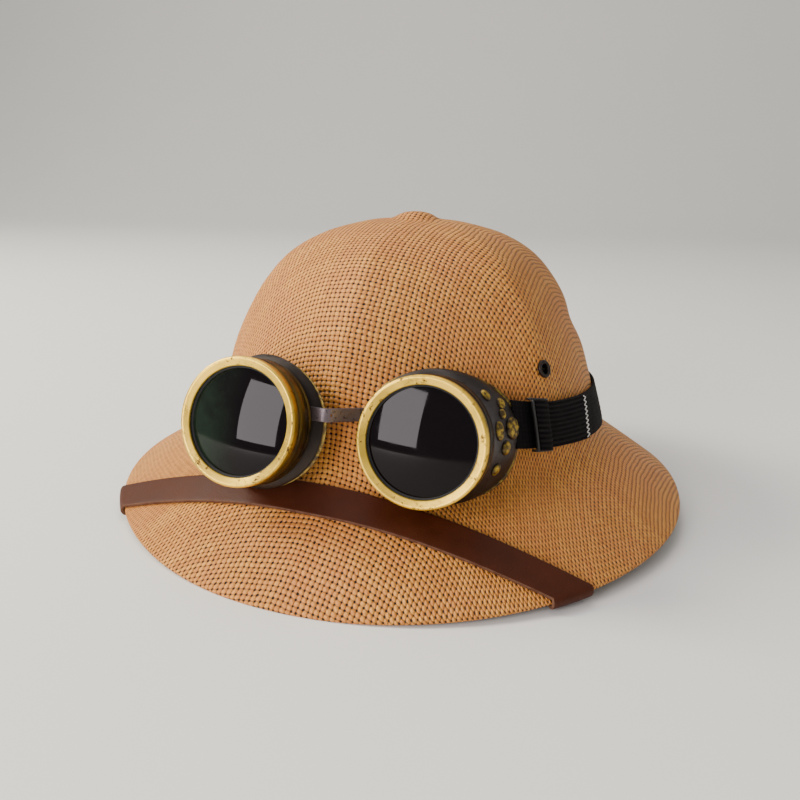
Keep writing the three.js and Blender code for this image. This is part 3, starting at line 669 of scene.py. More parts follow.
def new_group(name, inputs, outputs):
    """An empty node group with named sockets, its pen, its inputs and its output node."""
    tree = bpy.data.node_groups.new(name, "ShaderNodeTree")
    for key, kind, value in inputs:
        socket = tree.interface.new_socket(key, in_out="INPUT", socket_type=kind)
        if value is not None:
            socket.default_value = value
    for key, kind in outputs:
        tree.interface.new_socket(key, in_out="OUTPUT", socket_type=kind)
    into = tree.nodes.new("NodeGroupInput")
    out = tree.nodes.new("NodeGroupOutput")
    return tree, NodePen(tree), into.outputs, out.inputs


FLOAT, VECTOR = "NodeSocketFloat", "NodeSocketVector"


def weave_group():
    """Plain weave of round strands: height, gaps between strands and a tint per strand."""
    tree, pen, into, out = new_group(
        "plain_weave",
        [("Strands", VECTOR, None), ("Strand Width", FLOAT, 0.47), ("Gap", FLOAT, 0.36),
         ("Unevenness", FLOAT, 0.0), ("Openness", FLOAT, 1.0)],
        [("Height", FLOAT), ("Gaps", FLOAT), ("Tint", FLOAT)])
    split = pen.tree.nodes.new("ShaderNodeSeparateXYZ")
    tree.links.new(into["Strands"], split.inputs[0])
    near, wave, sign = [], [], []
    for axis in (0, 1):
        place = split.outputs[axis]
        part = pen.math("FRACT", place)
        near.append(pen.math("ABSOLUTE", pen.minus(part, 0.5)))
        wave.append(pen.math("SINE", pen.times(place, math.pi)))
        sign.append(pen.math("SIGN", wave[axis]))
    heights = []
    for axis in (0, 1):
        share = pen.math("DIVIDE", near[axis], into["Strand Width"], clamp=True)
        bow = pen.math("SQRT", pen.minus(1.0, pen.times(share, share)))
        over = pen.times(wave[1 - axis], sign[axis])
        over = pen.times(over, 0.42 if axis == 0 else -0.42)
        heights.append(pen.plus(pen.times(bow, 0.58), over))
    height = pen.math("MAXIMUM", heights[0], heights[1])
    warp_on_top = pen.math("GREATER_THAN", heights[0], heights[1])
    tints = []
    for axis in (0, 1):
        seed = pen.plus(pen.math("FLOOR", split.outputs[axis]), 37.3 * (axis + 1))
        tints.append(pen.node("ShaderNodeTexWhiteNoise", noise_dimensions="1D", inputs={"W": seed}))
    tint = pen.node("ShaderNodeMix", inputs={0: warp_on_top, 2: tints[1], 3: tints[0]})
    uneven = pen.minus(pen.noise(into["Strands"], 0.9, 1.0), 0.5)
    edge = pen.plus(into["Gap"], pen.times(uneven, into["Unevenness"]))
    soft = pen.plus(edge, 0.07)
    gaps = [pen.ramp(value, edge, soft) for value in near]
    gap = pen.times(pen.times(gaps[0], gaps[1]), into["Openness"])
    for key, value in (("Height", height), ("Gaps", gap), ("Tint", tint)):
        tree.links.new(value, out[key])
    return tree


def wear_group():
    """Fine specks and long scratches, as masks."""
    tree, pen, into, out = new_group(
        "specks_and_scratches",
        [("Place", VECTOR, None), ("Speck Scale", FLOAT, 500.0), ("Scratch Scale", FLOAT, 90.0)],
        [("Specks", FLOAT), ("Scratches", FLOAT), ("Cloud", FLOAT)])
    speck = pen.noise(into["Place"], into["Speck Scale"], 4.0, 0.65)
    specks = pen.ramp(speck, 0.57, 0.65)
    spread = pen.noise(into["Place"], pen.times(into["Speck Scale"], 0.14), 3.0, 0.6)
    specks = pen.times(specks, pen.ramp(spread, 0.38, 0.56))
    stretched = pen.node("ShaderNodeMapping", inputs={
        "Vector": into["Place"], "Rotation": (0.5, 0.9, 0.3), "Scale": (1.0, 9.0, 1.0)})
    line = pen.noise(stretched, into["Scratch Scale"], 5.0, 0.7, 0.4)
    line = pen.math("ABSOLUTE", pen.minus(line, 0.5))
    scratches = pen.ramp(line, 0.0, 0.012, 1.0, 0.0)
    scratches = pen.times(scratches, pen.ramp(spread, 0.50, 0.60))
    cloud = pen.noise(into["Place"], 38.0, 3.0, 0.6)
    for key, value in (("Specks", specks), ("Scratches", scratches), ("Cloud", cloud)):
        tree.links.new(value, out[key])
    return tree


def new_material(name):
    """A material with its Principled shader, pen and Object coordinates."""
    material = bpy.data.materials.new(name)
    material.use_nodes = True
    tree = material.node_tree
    shader = tree.nodes["Principled BSDF"]
    pen = NodePen(tree)
    place = tree.nodes.new("ShaderNodeTexCoord").outputs["Object"]
    return material, shader, pen, place


def finish_shader(pen, shader, color, roughness, height, depth, **plain):
    """Feeds the colour, roughness and bump of a shader, and sets its plain inputs."""
    bump = pen.node("ShaderNodeBump", inputs={"Strength": 1.0, "Distance": depth, "Height": height})
    for value, key in ((color, "Base Color"), (roughness, "Roughness"), (bump, "Normal")):
        pen.tree.links.new(value, shader.inputs[key])
    for key, value in plain.items():
        shader.inputs[key.replace("_", " ")].default_value = value


def scaled(color, factor):
    """A colour made darker or lighter."""
    return tuple(min(1, value * factor) for value in color)


ROSY_STRAW = (0.67, 0.222, 0.058)
SHADED_STRAW = (0.105, 0.028, 0.005)
# Painted shade: near black brown standing for the shadow seen through the holes of the weave
PAINTED_GAP_SHADE = (0.012, 0.004, 0.002)
BRASS_SPECK = (0.10, 0.045, 0.018)
BRONZE_SPECK = (0.02, 0.012, 0.008)
BARE_STEEL = (0.105, 0.095, 0.098)
GUNMETAL_SPECK = (0.03, 0.025, 0.025)
GREEN_TINT = (0.010, 0.019, 0.012)
GREEN_TINT_X = (-0.050, -0.026)
RUBBER_BLACK = (0.010, 0.010, 0.010)
PLASTIC_BLACK = (0.0035, 0.0035, 0.0040)
STRAND_SWAYS = ((60.0, 0.55), (240.0, 0.36))


def straw_material(settings, weave):
    """Woven straw: round strands, painted shade in the gaps between them and on the strands' low
    edges, and strands of slightly different tan.
    """
    material, shader, pen, place = new_material("woven_straw")
    strands = pen.node("ShaderNodeUVMap", uv_map="UVMap")
    for scale, amount in STRAND_SWAYS:
        sway = pen.node("ShaderNodeTexNoise", "Color", inputs={
            "Vector": place, "Scale": scale, "Detail": 1.0})
        sway = pen.node("ShaderNodeVectorMath", operation="SUBTRACT",
                        inputs={0: sway, 1: (0.5, 0.5, 0.5)})
        sway = pen.node("ShaderNodeVectorMath", operation="SCALE",
                        inputs={0: sway, "Scale": amount})
        strands = pen.node("ShaderNodeVectorMath", operation="ADD", inputs={0: strands, 1: sway})
    cloth = pen.group(weave, Strands=strands, Gap=0.305, Unevenness=0.32,
                      Openness=pen.attribute("openness"))
    fibre = pen.noise(place, 1500.0, 2.0, 0.7)
    patch = pen.noise(place, 26.0, 3.0, 0.6)
    tint = pen.times(cloth["Tint"], 0.50)
    tint = pen.plus(tint, pen.ramp(fibre, 0.35, 0.70, 0.0, 0.45))
    tint = pen.plus(tint, pen.times(patch, 0.20), clamp=True)
    color = pen.mix(tint, settings.straw_color, settings.straw_light)
    color = pen.mix(pen.ramp(patch, 0.46, 0.60, 0.0, 0.35), color, ROSY_STRAW)
    # Painted shade: each strand darkens toward its low edges, where it dips under its neighbours
    color = pen.mix(pen.ramp(cloth["Height"], 0.22, 0.82, 0.0, 1.0), SHADED_STRAW, color)
    # Painted shade: the holes between the strands take a near black colour
    color = pen.mix(cloth["Gaps"], color, PAINTED_GAP_SHADE)
    height = pen.minus(cloth["Height"], pen.times(cloth["Gaps"], 0.9))
    height = pen.plus(height, pen.times(fibre, 0.35))
    finish_shader(pen, shader, color, pen.ramp(fibre, 0.3, 0.7, 0.46, 0.66), height, 0.0011,
                  Specular_IOR_Level=0.4)
    return material


def lining_material(settings, weave):
    """Plain cotton lining inside the helmet."""
    material, shader, pen, place = new_material("cotton_lining")
    cloth = pen.group(weave, Strands=pen.strands(2.4, 2.4, 2.4), Gap=0.5, Openness=0.0)
    patch = pen.noise(place, 30.0, 3.0, 0.6)
    tint = pen.plus(pen.times(patch, 0.6),
                    pen.times(cloth["Tint"], 0.3))
    color = pen.mix(tint, scaled(settings.lining_color, 0.78), settings.lining_color)
    finish_shader(pen, shader, color, pen.ramp(patch, 0.3, 0.7, 0.82, 0.92),
                  cloth["Height"], 0.0002)
    return material


def leather_material(settings):
    """Smooth semi-gloss leather with fine pores and paler cut edges."""
    material, shader, pen, place = new_material("red_brown_leather")
    pores = pen.node("ShaderNodeTexVoronoi", "Distance", inputs={"Vector": place, "Scale": 1100.0})
    cloud = pen.noise(place, 45.0, 4.0, 0.6)
    crease = pen.noise(place, 260.0, 4.0, 0.65)
    edge = pen.attribute("cut_edge")
    leather = settings.leather_color
    color = pen.mix(pen.ramp(cloud, 0.32, 0.68), scaled(leather, 0.86), scaled(leather, 1.14))
    frayed = pen.times(edge, pen.ramp(crease, 0.30, 0.55, 0.45, 1.0))
    color = pen.mix(frayed, color, settings.edge_color)
    rough = pen.ramp(cloud, 0.3, 0.7, 0.47, 0.55)
    rough = pen.plus(rough, pen.times(edge, 0.3))
    height = pen.plus(pen.ramp(pores, 0.0, 0.5), pen.times(crease, 0.8))
    finish_shader(pen, shader, color, rough, height, 0.00006, Specular_IOR_Level=0.20)
    return material


def webbing_material(settings, weave):
    """Black ribbed elastic with a fine weave, a painted highlight on the rib and strand tops and
    painted shade in the grooves.
    """
    material, shader, pen, place = new_material("black_webbing")
    cloth = pen.group(weave, Strands=pen.strands(1.6, 2.4, 1.0), Gap=0.44, Openness=0.6)
    dust = pen.noise(place, 160.0, 4.0, 0.7)
    # Painted highlight on the tops of the ribs and strands, painted shade in the grooves between
    # them
    shade = pen.times(pen.ramp(cloth["Height"], 0.2, 0.95),
                     pen.ramp(dust, 0.3, 0.75, 0.35, 1.0))
    shade = pen.times(shade, pen.attribute("rib"))
    color = pen.mix(shade, settings.webbing_color, scaled(settings.webbing_color, 26.0))
    finish_shader(pen, shader, color, pen.ramp(dust, 0.3, 0.7, 0.78, 0.92),
                  cloth["Height"], 0.00022, Specular_IOR_Level=0.14)
    return material


def stitch_material(settings):
    """Thick white thread."""
    material, shader, pen, place = new_material("white_thread")
    twist = pen.noise(place, 1800.0, 2.0, 0.6)
    color = pen.mix(twist, scaled(settings.stitch_color, 0.6), settings.stitch_color)
    finish_shader(pen, shader, color, pen.ramp(twist, 0.3, 0.7, 0.5, 0.7), twist, 0.0001)
    return material


def brass_material(settings, wear):
    """Antique brass plating with dark specks, scratches and cloudy gloss."""
    material, shader, pen, place = new_material("antique_brass")
    worn = pen.group(wear, Place=place, Speck_Scale=420.0, Scratch_Scale=75.0)
    brass = settings.brass_color
    color = pen.mix(pen.ramp(worn["Cloud"], 0.36, 0.62), scaled(brass, 0.62), brass)
    blotch = pen.times(pen.attribute("patina"),
                      pen.ramp(worn["Cloud"], 0.30, 0.60, 0.75, 1.0))
    color = pen.mix(blotch, color, settings.bronze_color)
    marks = pen.math("MAXIMUM", worn["Specks"], pen.times(worn["Scratches"], 0.75))
    color = pen.mix(marks, color, BRASS_SPECK)
    rough = pen.ramp(worn["Cloud"], 0.3, 0.7, 0.30, 0.46)
    rough = pen.plus(rough, pen.times(marks, 0.25))
    grain = pen.noise(place, 900.0, 3.0, 0.6)
    height = pen.minus(pen.times(grain, 0.5), marks)
    finish_shader(pen, shader, color, rough, height, 0.00008, Metallic=0.8)
    return material


def bronze_material(settings, wear):
    """Dark bronze plating, rubbed to gold on its high places."""
    material, shader, pen, place = new_material("dark_bronze")
    worn = pen.group(wear, Place=place, Speck_Scale=300.0, Scratch_Scale=120.0)
    bronze = settings.bronze_color
    color = pen.mix(pen.ramp(worn["Cloud"], 0.35, 0.65), bronze, scaled(bronze, 1.9))
    fine = pen.noise(place, 420.0, 3.0, 0.6)
    bare = pen.times(pen.attribute("bare"),
                    pen.ramp(worn["Cloud"], 0.3, 0.6, 0.4, 1.0))
    color = pen.mix(bare, color, BARE_STEEL)
    rubbed = pen.times(pen.attribute("rub"), pen.ramp(fine, 0.38, 0.62, 0.12, 0.85))
    color = pen.mix(rubbed, color, scaled(settings.brass_color, 0.62))
    color = pen.mix(pen.times(worn["Specks"], 0.8), color, BRONZE_SPECK)
    finish_shader(pen, shader, color, pen.ramp(worn["Cloud"], 0.3, 0.7, 0.34, 0.52),
                  pen.noise(place, 700.0, 3.0, 0.6), 0.00006, Metallic=0.65)
    return material


def gunmetal_material(settings, wear):
    """Dark slightly worn metal of the bridge and the rivets."""
    material, shader, pen, place = new_material("worn_gunmetal")
    worn = pen.group(wear, Place=place, Speck_Scale=600.0, Scratch_Scale=200.0)
    metal = settings.gunmetal_color
    color = pen.mix(pen.ramp(worn["Cloud"], 0.35, 0.65), metal, scaled(metal, 1.7))
    color = pen.mix(worn["Specks"], color, GUNMETAL_SPECK)
    finish_shader(pen, shader, color, pen.ramp(worn["Cloud"], 0.3, 0.7, 0.32, 0.5),
                  pen.noise(place, 800.0, 3.0, 0.6), 0.00004, Metallic=0.7)
    return material


def lens_material(settings):
    """Near black polished lens, greener toward one side, with faint smudges."""
    material, shader, pen, place = new_material("dark_lens")
    smudge = pen.noise(place, 55.0, 4.0, 0.65)
    split = pen.node("ShaderNodeSeparateXYZ", inputs={0: place})
    green_side = pen.times(pen.ramp(split, *GREEN_TINT_X, 1.0, 0.0),
                          pen.ramp(smudge, 0.30, 0.60, 0.4, 1.0))
    color = pen.mix(green_side, settings.lens_color, GREEN_TINT)
    pen.tree.links.new(color, shader.inputs["Base Color"])
    pen.tree.links.new(pen.ramp(smudge, 0.45, 0.75, 0.02, 0.09), shader.inputs["Roughness"])
    shader.inputs["Specular IOR Level"].default_value = 0.17
    return material


def rubber_material(name, color):
    """Matt black rubber or moulded plastic with a fine grain."""
    material, shader, pen, place = new_material(name)
    grain = pen.noise(place, 900.0, 3.0, 0.6)
    finish_shader(pen, shader, pen.mix(grain, color, scaled(color, 2.2)),
                  pen.ramp(grain, 0.3, 0.7, 0.45, 0.62), grain, 0.00005,
                  Specular_IOR_Level=0.22)
    return material


def shared(name, make, *values):
    """The material or group of a name, made on first use."""
    found = bpy.data.materials.get(name) or bpy.data.node_groups.get(name)
    return found or make(*values)


def weave_tree():
    return shared("plain_weave", weave_group)


def wear_tree():
    return shared("specks_and_scratches", wear_group)


def gunmetal(context):
    return shared("worn_gunmetal", gunmetal_material, context.scene.goggle_settings, wear_tree())


# Pieces of the helmet

SHELL_COLUMNS = 300
CROWN_ROWS = 100
BRIM_ROWS = 44
EDGE_ROWS = 6
INNER_ROWS = 56
CUTTER_LENGTH = 14


def surface_frame(theta, u):
    """Matrix whose Y axis points outward from the shell at a place, in metres."""
    point = offset(theta, u, 0.0)
    out = Vector(offset(theta, u, 1.0) - point)
    turn = Vector((0, 1, 0)).rotation_difference(out).to_matrix().to_4x4()
    return Matrix.Translation(Vector(point) * MM) @ turn


def eyelet_frame(side):
    """Frame of the vent eyelet on one side."""
    theta = math.radians(EYELET_THETAS[side])
    return surface_frame(theta, crown_share_at(theta, EYELET_Z))


def hidden_place(way, side):
    """Angles and shares of the strap's back and front edge on its hidden stretch."""
    steps = np.linspace(0, 1, len(HIDDEN_BACK))
    back_end, front_end = STRAP_ENDS[side]
    back_way, front_way = side * STRAP_ANCHORS[0] - back_end, side * STRAP_ANCHORS[1] - front_end
    back = back_end + back_way * np.interp(way, steps, HIDDEN_BACK)
    front = front_end + front_way * np.interp(way, steps, HIDDEN_FRONT)
    return (np.radians(back), np.interp(way, steps, HIDDEN_BACK_U),
            np.radians(front), np.interp(way, steps, HIDDEN_FRONT_U))


def rivet_frame(side):
    """Frame of the rivet that anchors the strap on one side."""
    back, back_u, front, front_u = hidden_place(RIVET_WAY, -1 if side == "right" else 1)
    return surface_frame((back + front) / 2, (back_u + front_u) / 2)


def cut_holes(piece, frames, radius):
    """Cuts round holes through a piece along the Y axis of each frame."""
    cutter_mesh = bpy.data.meshes.new("hole_cutter")
    bm = bmesh.new()
    for place in frames:
        turn = place @ Matrix.Rotation(math.pi / 2, 4, "X")
        bmesh.ops.create_cone(
            bm, cap_ends=True, cap_tris=False, segments=32, radius1=radius * MM,
            radius2=radius * MM, depth=CUTTER_LENGTH * MM, matrix=turn)
    bm.to_mesh(cutter_mesh)
    bm.free()
    cutter = bpy.data.objects.new("hole_cutter", cutter_mesh)
    bpy.context.scene.collection.objects.link(cutter)
    cut = piece.modifiers.new("holes", "BOOLEAN")
    cut.operation, cut.object, cut.solver = "DIFFERENCE", cutter, "MANIFOLD"
    depsgraph = bpy.context.evaluated_depsgraph_get()
    mesh = bpy.data.meshes.new_from_object(
        piece.evaluated_get(depsgraph), preserve_all_data_layers=True, depsgraph=depsgraph)
    piece.modifiers.clear()
    piece.data = mesh
    bpy.data.objects.remove(cutter)


class HELMET_OT_straw_shell(bpy.types.Operator):
    """Woven straw shell with its ridged crown, sloping brim and cotton lining"""
    bl_idname = "helmet.straw_shell"
    bl_label = "Straw Shell"

    def execute(self, context):
        settings = context.scene.helmet_settings
        pitch = np.array([settings.warp_pitch, settings.weft_pitch]) / MM
        theta = np.linspace(-np.pi, np.pi, SHELL_COLUMNS + 1)
        outer = np.concatenate([
            np.linspace(0, CORNER_U, CROWN_ROWS), np.linspace(CORNER_U, 1, BRIM_ROWS)[1:]])
        inner = np.linspace(1, 0, INNER_ROWS)
        turns = np.linspace(0, 1, EDGE_ROWS + 2)[1:-1]
        place = self.form(theta, outer, turns, inner)
        strands, openness = self.cloth(theta, outer, turns, inner)
        bm = formed_grid(place, strands / pitch, {"openness": openness})
        bmesh.ops.recalc_face_normals(bm, faces=bm.faces)
        straw = straw_material(settings, weave_tree())
        piece = new_piece("straw_shell", bm, straw, "helmet_shell")
        piece.data.materials.append(lining_material(settings, weave_tree()))
        self.mark_lining(piece)
        cut_holes(piece, [eyelet_frame("left"), eyelet_frame("right")], EYELET_HOLE_RADIUS)
        return {"FINISHED"}

    @staticmethod
    def form(theta, outer, turns, inner):
        """Rows from the apex down the outer face, round the edge and up the inner face."""
        place = np.concatenate([
            surface(theta, outer[:, None]), edge_point(theta, turns[:, None], 0.0),
            offset(theta, inner[:, None], -STRAW_WALL)])
        place[:, -1] = place[:, 0]
        place[..., 2] = np.maximum(place[..., 2], 0)
        dent = np.exp(-((theta - math.radians(DENT_THETA)) / math.radians(DENT_TURN)) ** 2)
        dent = DENT_DEPTH * dent * np.exp(-((place[..., 2] - DENT_Z) / DENT_RISE) ** 2)
        reach = np.maximum(np.hypot(place[..., 0], place[..., 1]), DENT_LEAST_REACH)
        place[..., :2] *= (1 - dent / reach)[..., None]
        return place

    @staticmethod
    def cloth(theta, outer, turns, inner):
        """Strand coordinates of those rows, and how open the weave is there."""
        side, front, opening = (
            np.pad(table, ((0, 0), (0, 1)), mode="wrap")
            for table in strand_places(theta[:-1], outer))
        edge_way = np.pi * STRAW_WALL / 2 * turns
        extra = np.concatenate([edge_way, np.full(len(inner), edge_way[-1])])
        grow = 1 + extra[:, None] / np.hypot(side[-1], front[-1])
        grow *= np.concatenate([np.ones(len(turns)), np.maximum(inner, 0.001)])[:, None]
        side = np.concatenate([side, side[-1] * grow])
        front = np.concatenate([front, front[-1] * grow])
        opening = np.pad(opening, ((0, len(extra)), (0, 0)), mode="edge")
        openness = np.clip((opening - CLOSED_WEAVE) / (OPEN_WEAVE - CLOSED_WEAVE), 0, 1)
        return np.stack([side, front], -1), openness

    @staticmethod
    def mark_lining(piece):
        """Gives the inner face its lining, by which way each face looks."""
        for face in piece.data.polygons:
            centre = face.center / MM
            way = Vector((centre.x, centre.y - CROWN_CENTRE_Y, 0))
            if way.length < 1e-6:
                face.material_index = 0 if face.normal.z > 0 else 1
                continue
            outward = Vector((way.x / way.length, way.y / way.length, 0.55)).normalized()
            face.material_index = 0 if face.normal.dot(outward) > -0.15 else 1


class HELMET_OT_vent_eyelets(bpy.types.Operator):
    """Rolled metal eyelets in the vent holes of the crown"""
    bl_idname = "helmet.vent_eyelets"
    bl_label = "Vent Eyelets"

    def execute(self, context):
        dark = bronze_material(context.scene.goggle_settings, wear_tree())
        dark.name = "blackened_eyelet"
        for side in ("left", "right"):
            rolled = arc_points((3.35, 0.45), 0.9, -10, 190, 12)
            profile = [(4.2, -0.3), *rolled, (2.5, -3.2), (2.95, -3.2), (2.95, -0.3)]
            bm = spun(profile, 40, eyelet_frame(side))
            new_piece(f"rolled_eyelet_{side}", bm, dark, f"vent_eyelet_{side}")
        return {"FINISHED"}


class HELMET_OT_leather_strap(bpy.types.Operator):
    """Leather strap over the front of the brim, with its rivets inside the crown"""
    bl_idname = "helmet.leather_strap"
    bl_label = "Leather Strap"

    def execute(self, context):
        profile = band_profile(LEATHER_WIDTH, LEATHER_THICKNESS, 0.55, 14)
        across = 0.5 + profile[:, 0] / LEATHER_WIDTH
        reach = BAND_CLEARANCE - 0.25 + profile[:, 1]
        rows = []
        for side in (-1, 1):
            ways = np.linspace(0, 1, 60)[1:]
            back, back_u, front, front_u = hidden_place(ways, side)
            theta = back[:, None] + (front - back)[:, None] * across
            u = back_u[:, None] + (front_u - back_u)[:, None] * across
            ease = (np.minimum(ways / 0.15, 1) * STRAP_HIDDEN_SLACK)[:, None]
            hidden = offset(theta, u, -STRAW_WALL - ease - reach[None])
            ends = np.radians(STRAP_ENDS[side])
            theta = (ends[0] + (ends[1] - ends[0]) * across)[None]
            wrap = edge_point(theta, np.linspace(0, 1, 12)[1:, None], reach[None])
            half = np.concatenate([wrap, hidden])
            rows.append(half[::-1] if side < 0 else half)
            if side < 0:
                rows.append(self.visible_rows(across, reach))
        place = np.concatenate(rows)
        edges = np.abs(profile[:, 0]) > LEATHER_WIDTH / 2 - 0.5
        marks = {"cut_edge": np.repeat(edges[None].astype(float), len(place), 0)}
        bm = swept_band(place, profile, LEATHER_LENGTH, marks)
        leather = leather_material(context.scene.strap_settings)
        new_piece("leather_brim_strap", bm, leather, "brim_strap")
        seat = STRAW_WALL + STRAP_HIDDEN_SLACK + BAND_CLEARANCE + LEATHER_THICKNESS + 0.1
        for side in ("right", "left"):
            dome = arc_points((0, -seat), 4.0, 0, -90, 10)
            dome = [(x, -seat + (y + seat) * 0.32) for x, y in dome]
            profile = [(0, -0.3), (1.7, -0.3), (1.7, -seat), *dome]
            bm = spun(profile, 32, rivet_frame(side), closed=False)
            new_piece(
                f"domed_rivet_{side}", bm, gunmetal(context), f"strap_rivet_{side}")
        return {"FINISHED"}

    @staticmethod
    def visible_rows(across, reach):
        """Stations of the strap over the front of the brim."""
        share = np.linspace(-1, 1, 181)
        bow = np.abs(share) ** STRAP_BOW_POWER
        places = []
        for edge, middle_y in ((0, STRAP_BACK_Y), (1, STRAP_FRONT_Y)):
            ends = np.where(share < 0, STRAP_ENDS[-1][edge], STRAP_ENDS[1][edge])
            tip = brim_edge(np.radians(ends))
            x = tip[:, 0] * np.abs(share)
            places.append(brim_place(x, middle_y + (tip[:, 1] - middle_y) * bow))
        (back, back_u), (front, front_u) = places
        theta = back[:, None] + (front - back)[:, None] * across
        u = back_u[:, None] + (front_u - back_u)[:, None] * across
        return offset(theta, u, reach[None])


# Pieces of the elastic strap

def elastic_height(theta):
    """Height of the elastic's middle round the crown."""
    start = np.radians(np.where(theta > 0, ELASTIC_LEFT_THETA, ELASTIC_RIGHT_THETA))
    share = (np.abs(theta) - start) / (np.pi - start) / ELASTIC_LEVEL_SHARE
    fall = np.sin(np.pi / 2 * np.clip(share, 0, 1))
    return ELASTIC_FRONT_Z + (ELASTIC_BACK_Z - ELASTIC_FRONT_Z) * fall


def elastic_lift(theta):
    """How far the elastic stands off the crown where it runs straight into a cup."""
    start = np.radians(np.where(theta > 0, ELASTIC_LEFT_THETA, ELASTIC_RIGHT_THETA))
    free = np.maximum(start + math.radians(ELASTIC_FREE_ANGLE) - np.abs(theta), 0)
    return CROWN_WIDTH / 2 * (1 / np.cos(free) - 1)


def elastic_point(theta, across, reach):
    """Points on the elastic's way: across is downward from its middle."""
    theta, across, reach = np.broadcast_arrays(theta, across, reach)
    u = crown_share_at(theta, elastic_height(theta) - across)
    return offset(theta, u, reach + elastic_lift(theta))


def elastic_band(thetas, width, thickness, clearance, settings, relief=1.0, swell=0, lean=0):
    """A ribbed band of elastic round the crown between the given angles."""
    ribs = settings.rib_count
    rib_height = relief * settings.rib_height / MM
    profile = band_profile(width, thickness, 0.5, 6 * ribs, ribs, rib_height)
    way = np.linspace(0, 1, len(thetas))[:, None]
    theta = np.radians(thetas[:, None] + lean * way * (0.35 - profile[None, :, 0] / width))
    bulge = swell * np.sqrt(np.clip(1 - (2 * way - 1) ** 2, 0, 1))
    top = profile[None, :, 1] > 0.3 * thickness
    place = elastic_point(theta, profile[None, :, 0], clearance + profile[None, :, 1] + bulge * top)
    length = abs(np.radians(thetas[-1] - thetas[0])) * CROWN_WIDTH / 2
    # Share of the painted highlight across the band: full on each rib's top, none in the grooves,
    # faint and nearly even on bands of low relief
    rib = (0.5 + 0.5 * np.cos(2 * np.pi * ribs * (profile[:, 0] / width + 0.5))) ** 1.5
    if relief < 1:
        rib = 0.25 + 0.15 * rib
    return swept_band(place, profile, length, {"rib": np.repeat(rib[None], len(thetas), 0)})


class HELMET_OT_elastic(bpy.types.Operator):
    """Ribbed elastic round the crown, its sewn tail and the slider"""
    bl_idname = "helmet.elastic"
    bl_label = "Elastic and Slider"

    def execute(self, context):
        settings = context.scene.elastic_settings
        webbing = webbing_material(settings, weave_tree())
        thetas = np.linspace(ELASTIC_LEFT_THETA, 360 - ELASTIC_RIGHT_THETA, 260)
        thetas = np.where(thetas > 180, thetas - 360, thetas)
        bm = elastic_band(
            thetas, ELASTIC_WIDTH, ELASTIC_THICKNESS, BAND_CLEARANCE, settings, relief=0.25)
        new_piece("elastic_band", bm, webbing, "elastic_strap")
        thetas = np.linspace(TAIL_START_THETA, TAIL_END_THETA, 40)
        bm = elastic_band(
            thetas, ELASTIC_WIDTH, ELASTIC_THICKNESS, TAIL_CLEARANCE, settings, lean=TAIL_LEAN)
        new_piece("elastic_sewn_tail", bm, webbing, "elastic_tail")
        thetas = np.linspace(SLIDER_START_THETA + 0.9, SLIDER_END_THETA - 0.6, 24)
        fold = TAIL_CLEARANCE + ELASTIC_THICKNESS
        bm = elastic_band(thetas, ELASTIC_WIDTH + 1.6, 1.3, fold, settings, swell=2.0)
        new_piece("elastic_fold", bm, webbing)
        self.slider(fold)
        self.zigzag(settings)
        return {"FINISHED"}

    @staticmethod
    def slider(fold):
        """Plastic slider: two bars across the elastic and a rail along each edge."""
        plastic = shared("black_plastic", rubber_material, "black_plastic", PLASTIC_BLACK)
        parts = []
        half = ELASTIC_WIDTH / 2 + 0.7
        profile = band_profile(1.3, 1.6, 0.4, 4)
        for theta, lift in ((SLIDER_START_THETA + 0.4, 0.0), (SLIDER_END_THETA - 0.4, -1.4)):
            across = np.linspace(-half, half, 24)[:, None]
            turn = math.radians(theta) + profile[None, :, 0] / (CROWN_WIDTH / 2)
            place = elastic_point(turn, across, fold + lift + profile[None, :, 1])
            parts.append(swept_band(place, profile, 2 * half))
        profile = band_profile(1.0, fold, 0.35, 3)
        for side in (-1, 1):
            thetas = np.radians(np.linspace(SLIDER_START_THETA, SLIDER_END_THETA, 10))[:, None]
            across = side * (half + 0.35) + profile[None, :, 0]
            place = elastic_point(thetas, across, 0.35 + profile[None, :, 1])
            parts.append(swept_band(place, profile, 12.0))
        bm = bmesh.new()
        for part in parts:
            mesh = bpy.data.meshes.new("slider_part")
            part.to_mesh(mesh)
            part.free()
            bm.from_mesh(mesh)
            bpy.data.meshes.remove(mesh)
        new_piece("plastic_slider", bm, plastic, "strap_slider")

    @staticmethod
    def zigzag(settings):
        """White zigzag stitches near the end of the tail."""
        teeth = STITCH_TEETH
        across = np.linspace(-ELASTIC_WIDTH / 2 + 0.8, ELASTIC_WIDTH / 2 - 0.8, 2 * teeth + 1)
        lean = TAIL_LEAN * (0.35 - across / ELASTIC_WIDTH)
        teeth_turn = np.where(np.arange(2 * teeth + 1) % 2, 0.8, -0.8)
        theta = np.radians(TAIL_END_THETA - 1.1 + lean + teeth_turn)
        fine = np.linspace(0, 2 * teeth, 12 * teeth + 1)
        across = np.interp(fine, np.arange(2 * teeth + 1), across)
        theta = np.interp(fine, np.arange(2 * teeth + 1), theta)
        lift = TAIL_CLEARANCE + ELASTIC_THICKNESS + 0.12
        angle = np.linspace(0, 2 * np.pi, 9)
        centre = elastic_point(theta, across, lift)
        out = elastic_point(theta, across, lift + 1) - centre
        along = unit(np.gradient(centre, axis=0))
        side = np.cross(out, along)
        cosine, sine = np.cos(angle)[None, :, None], np.sin(angle)[None, :, None]
        ring = cosine * out[:, None] + sine * side[:, None]
        bm = close_ends(formed_grid(centre[:, None] + THREAD_RADIUS * ring))
        new_piece("zigzag_stitches", bm, stitch_material(settings))


# Pieces of the goggles

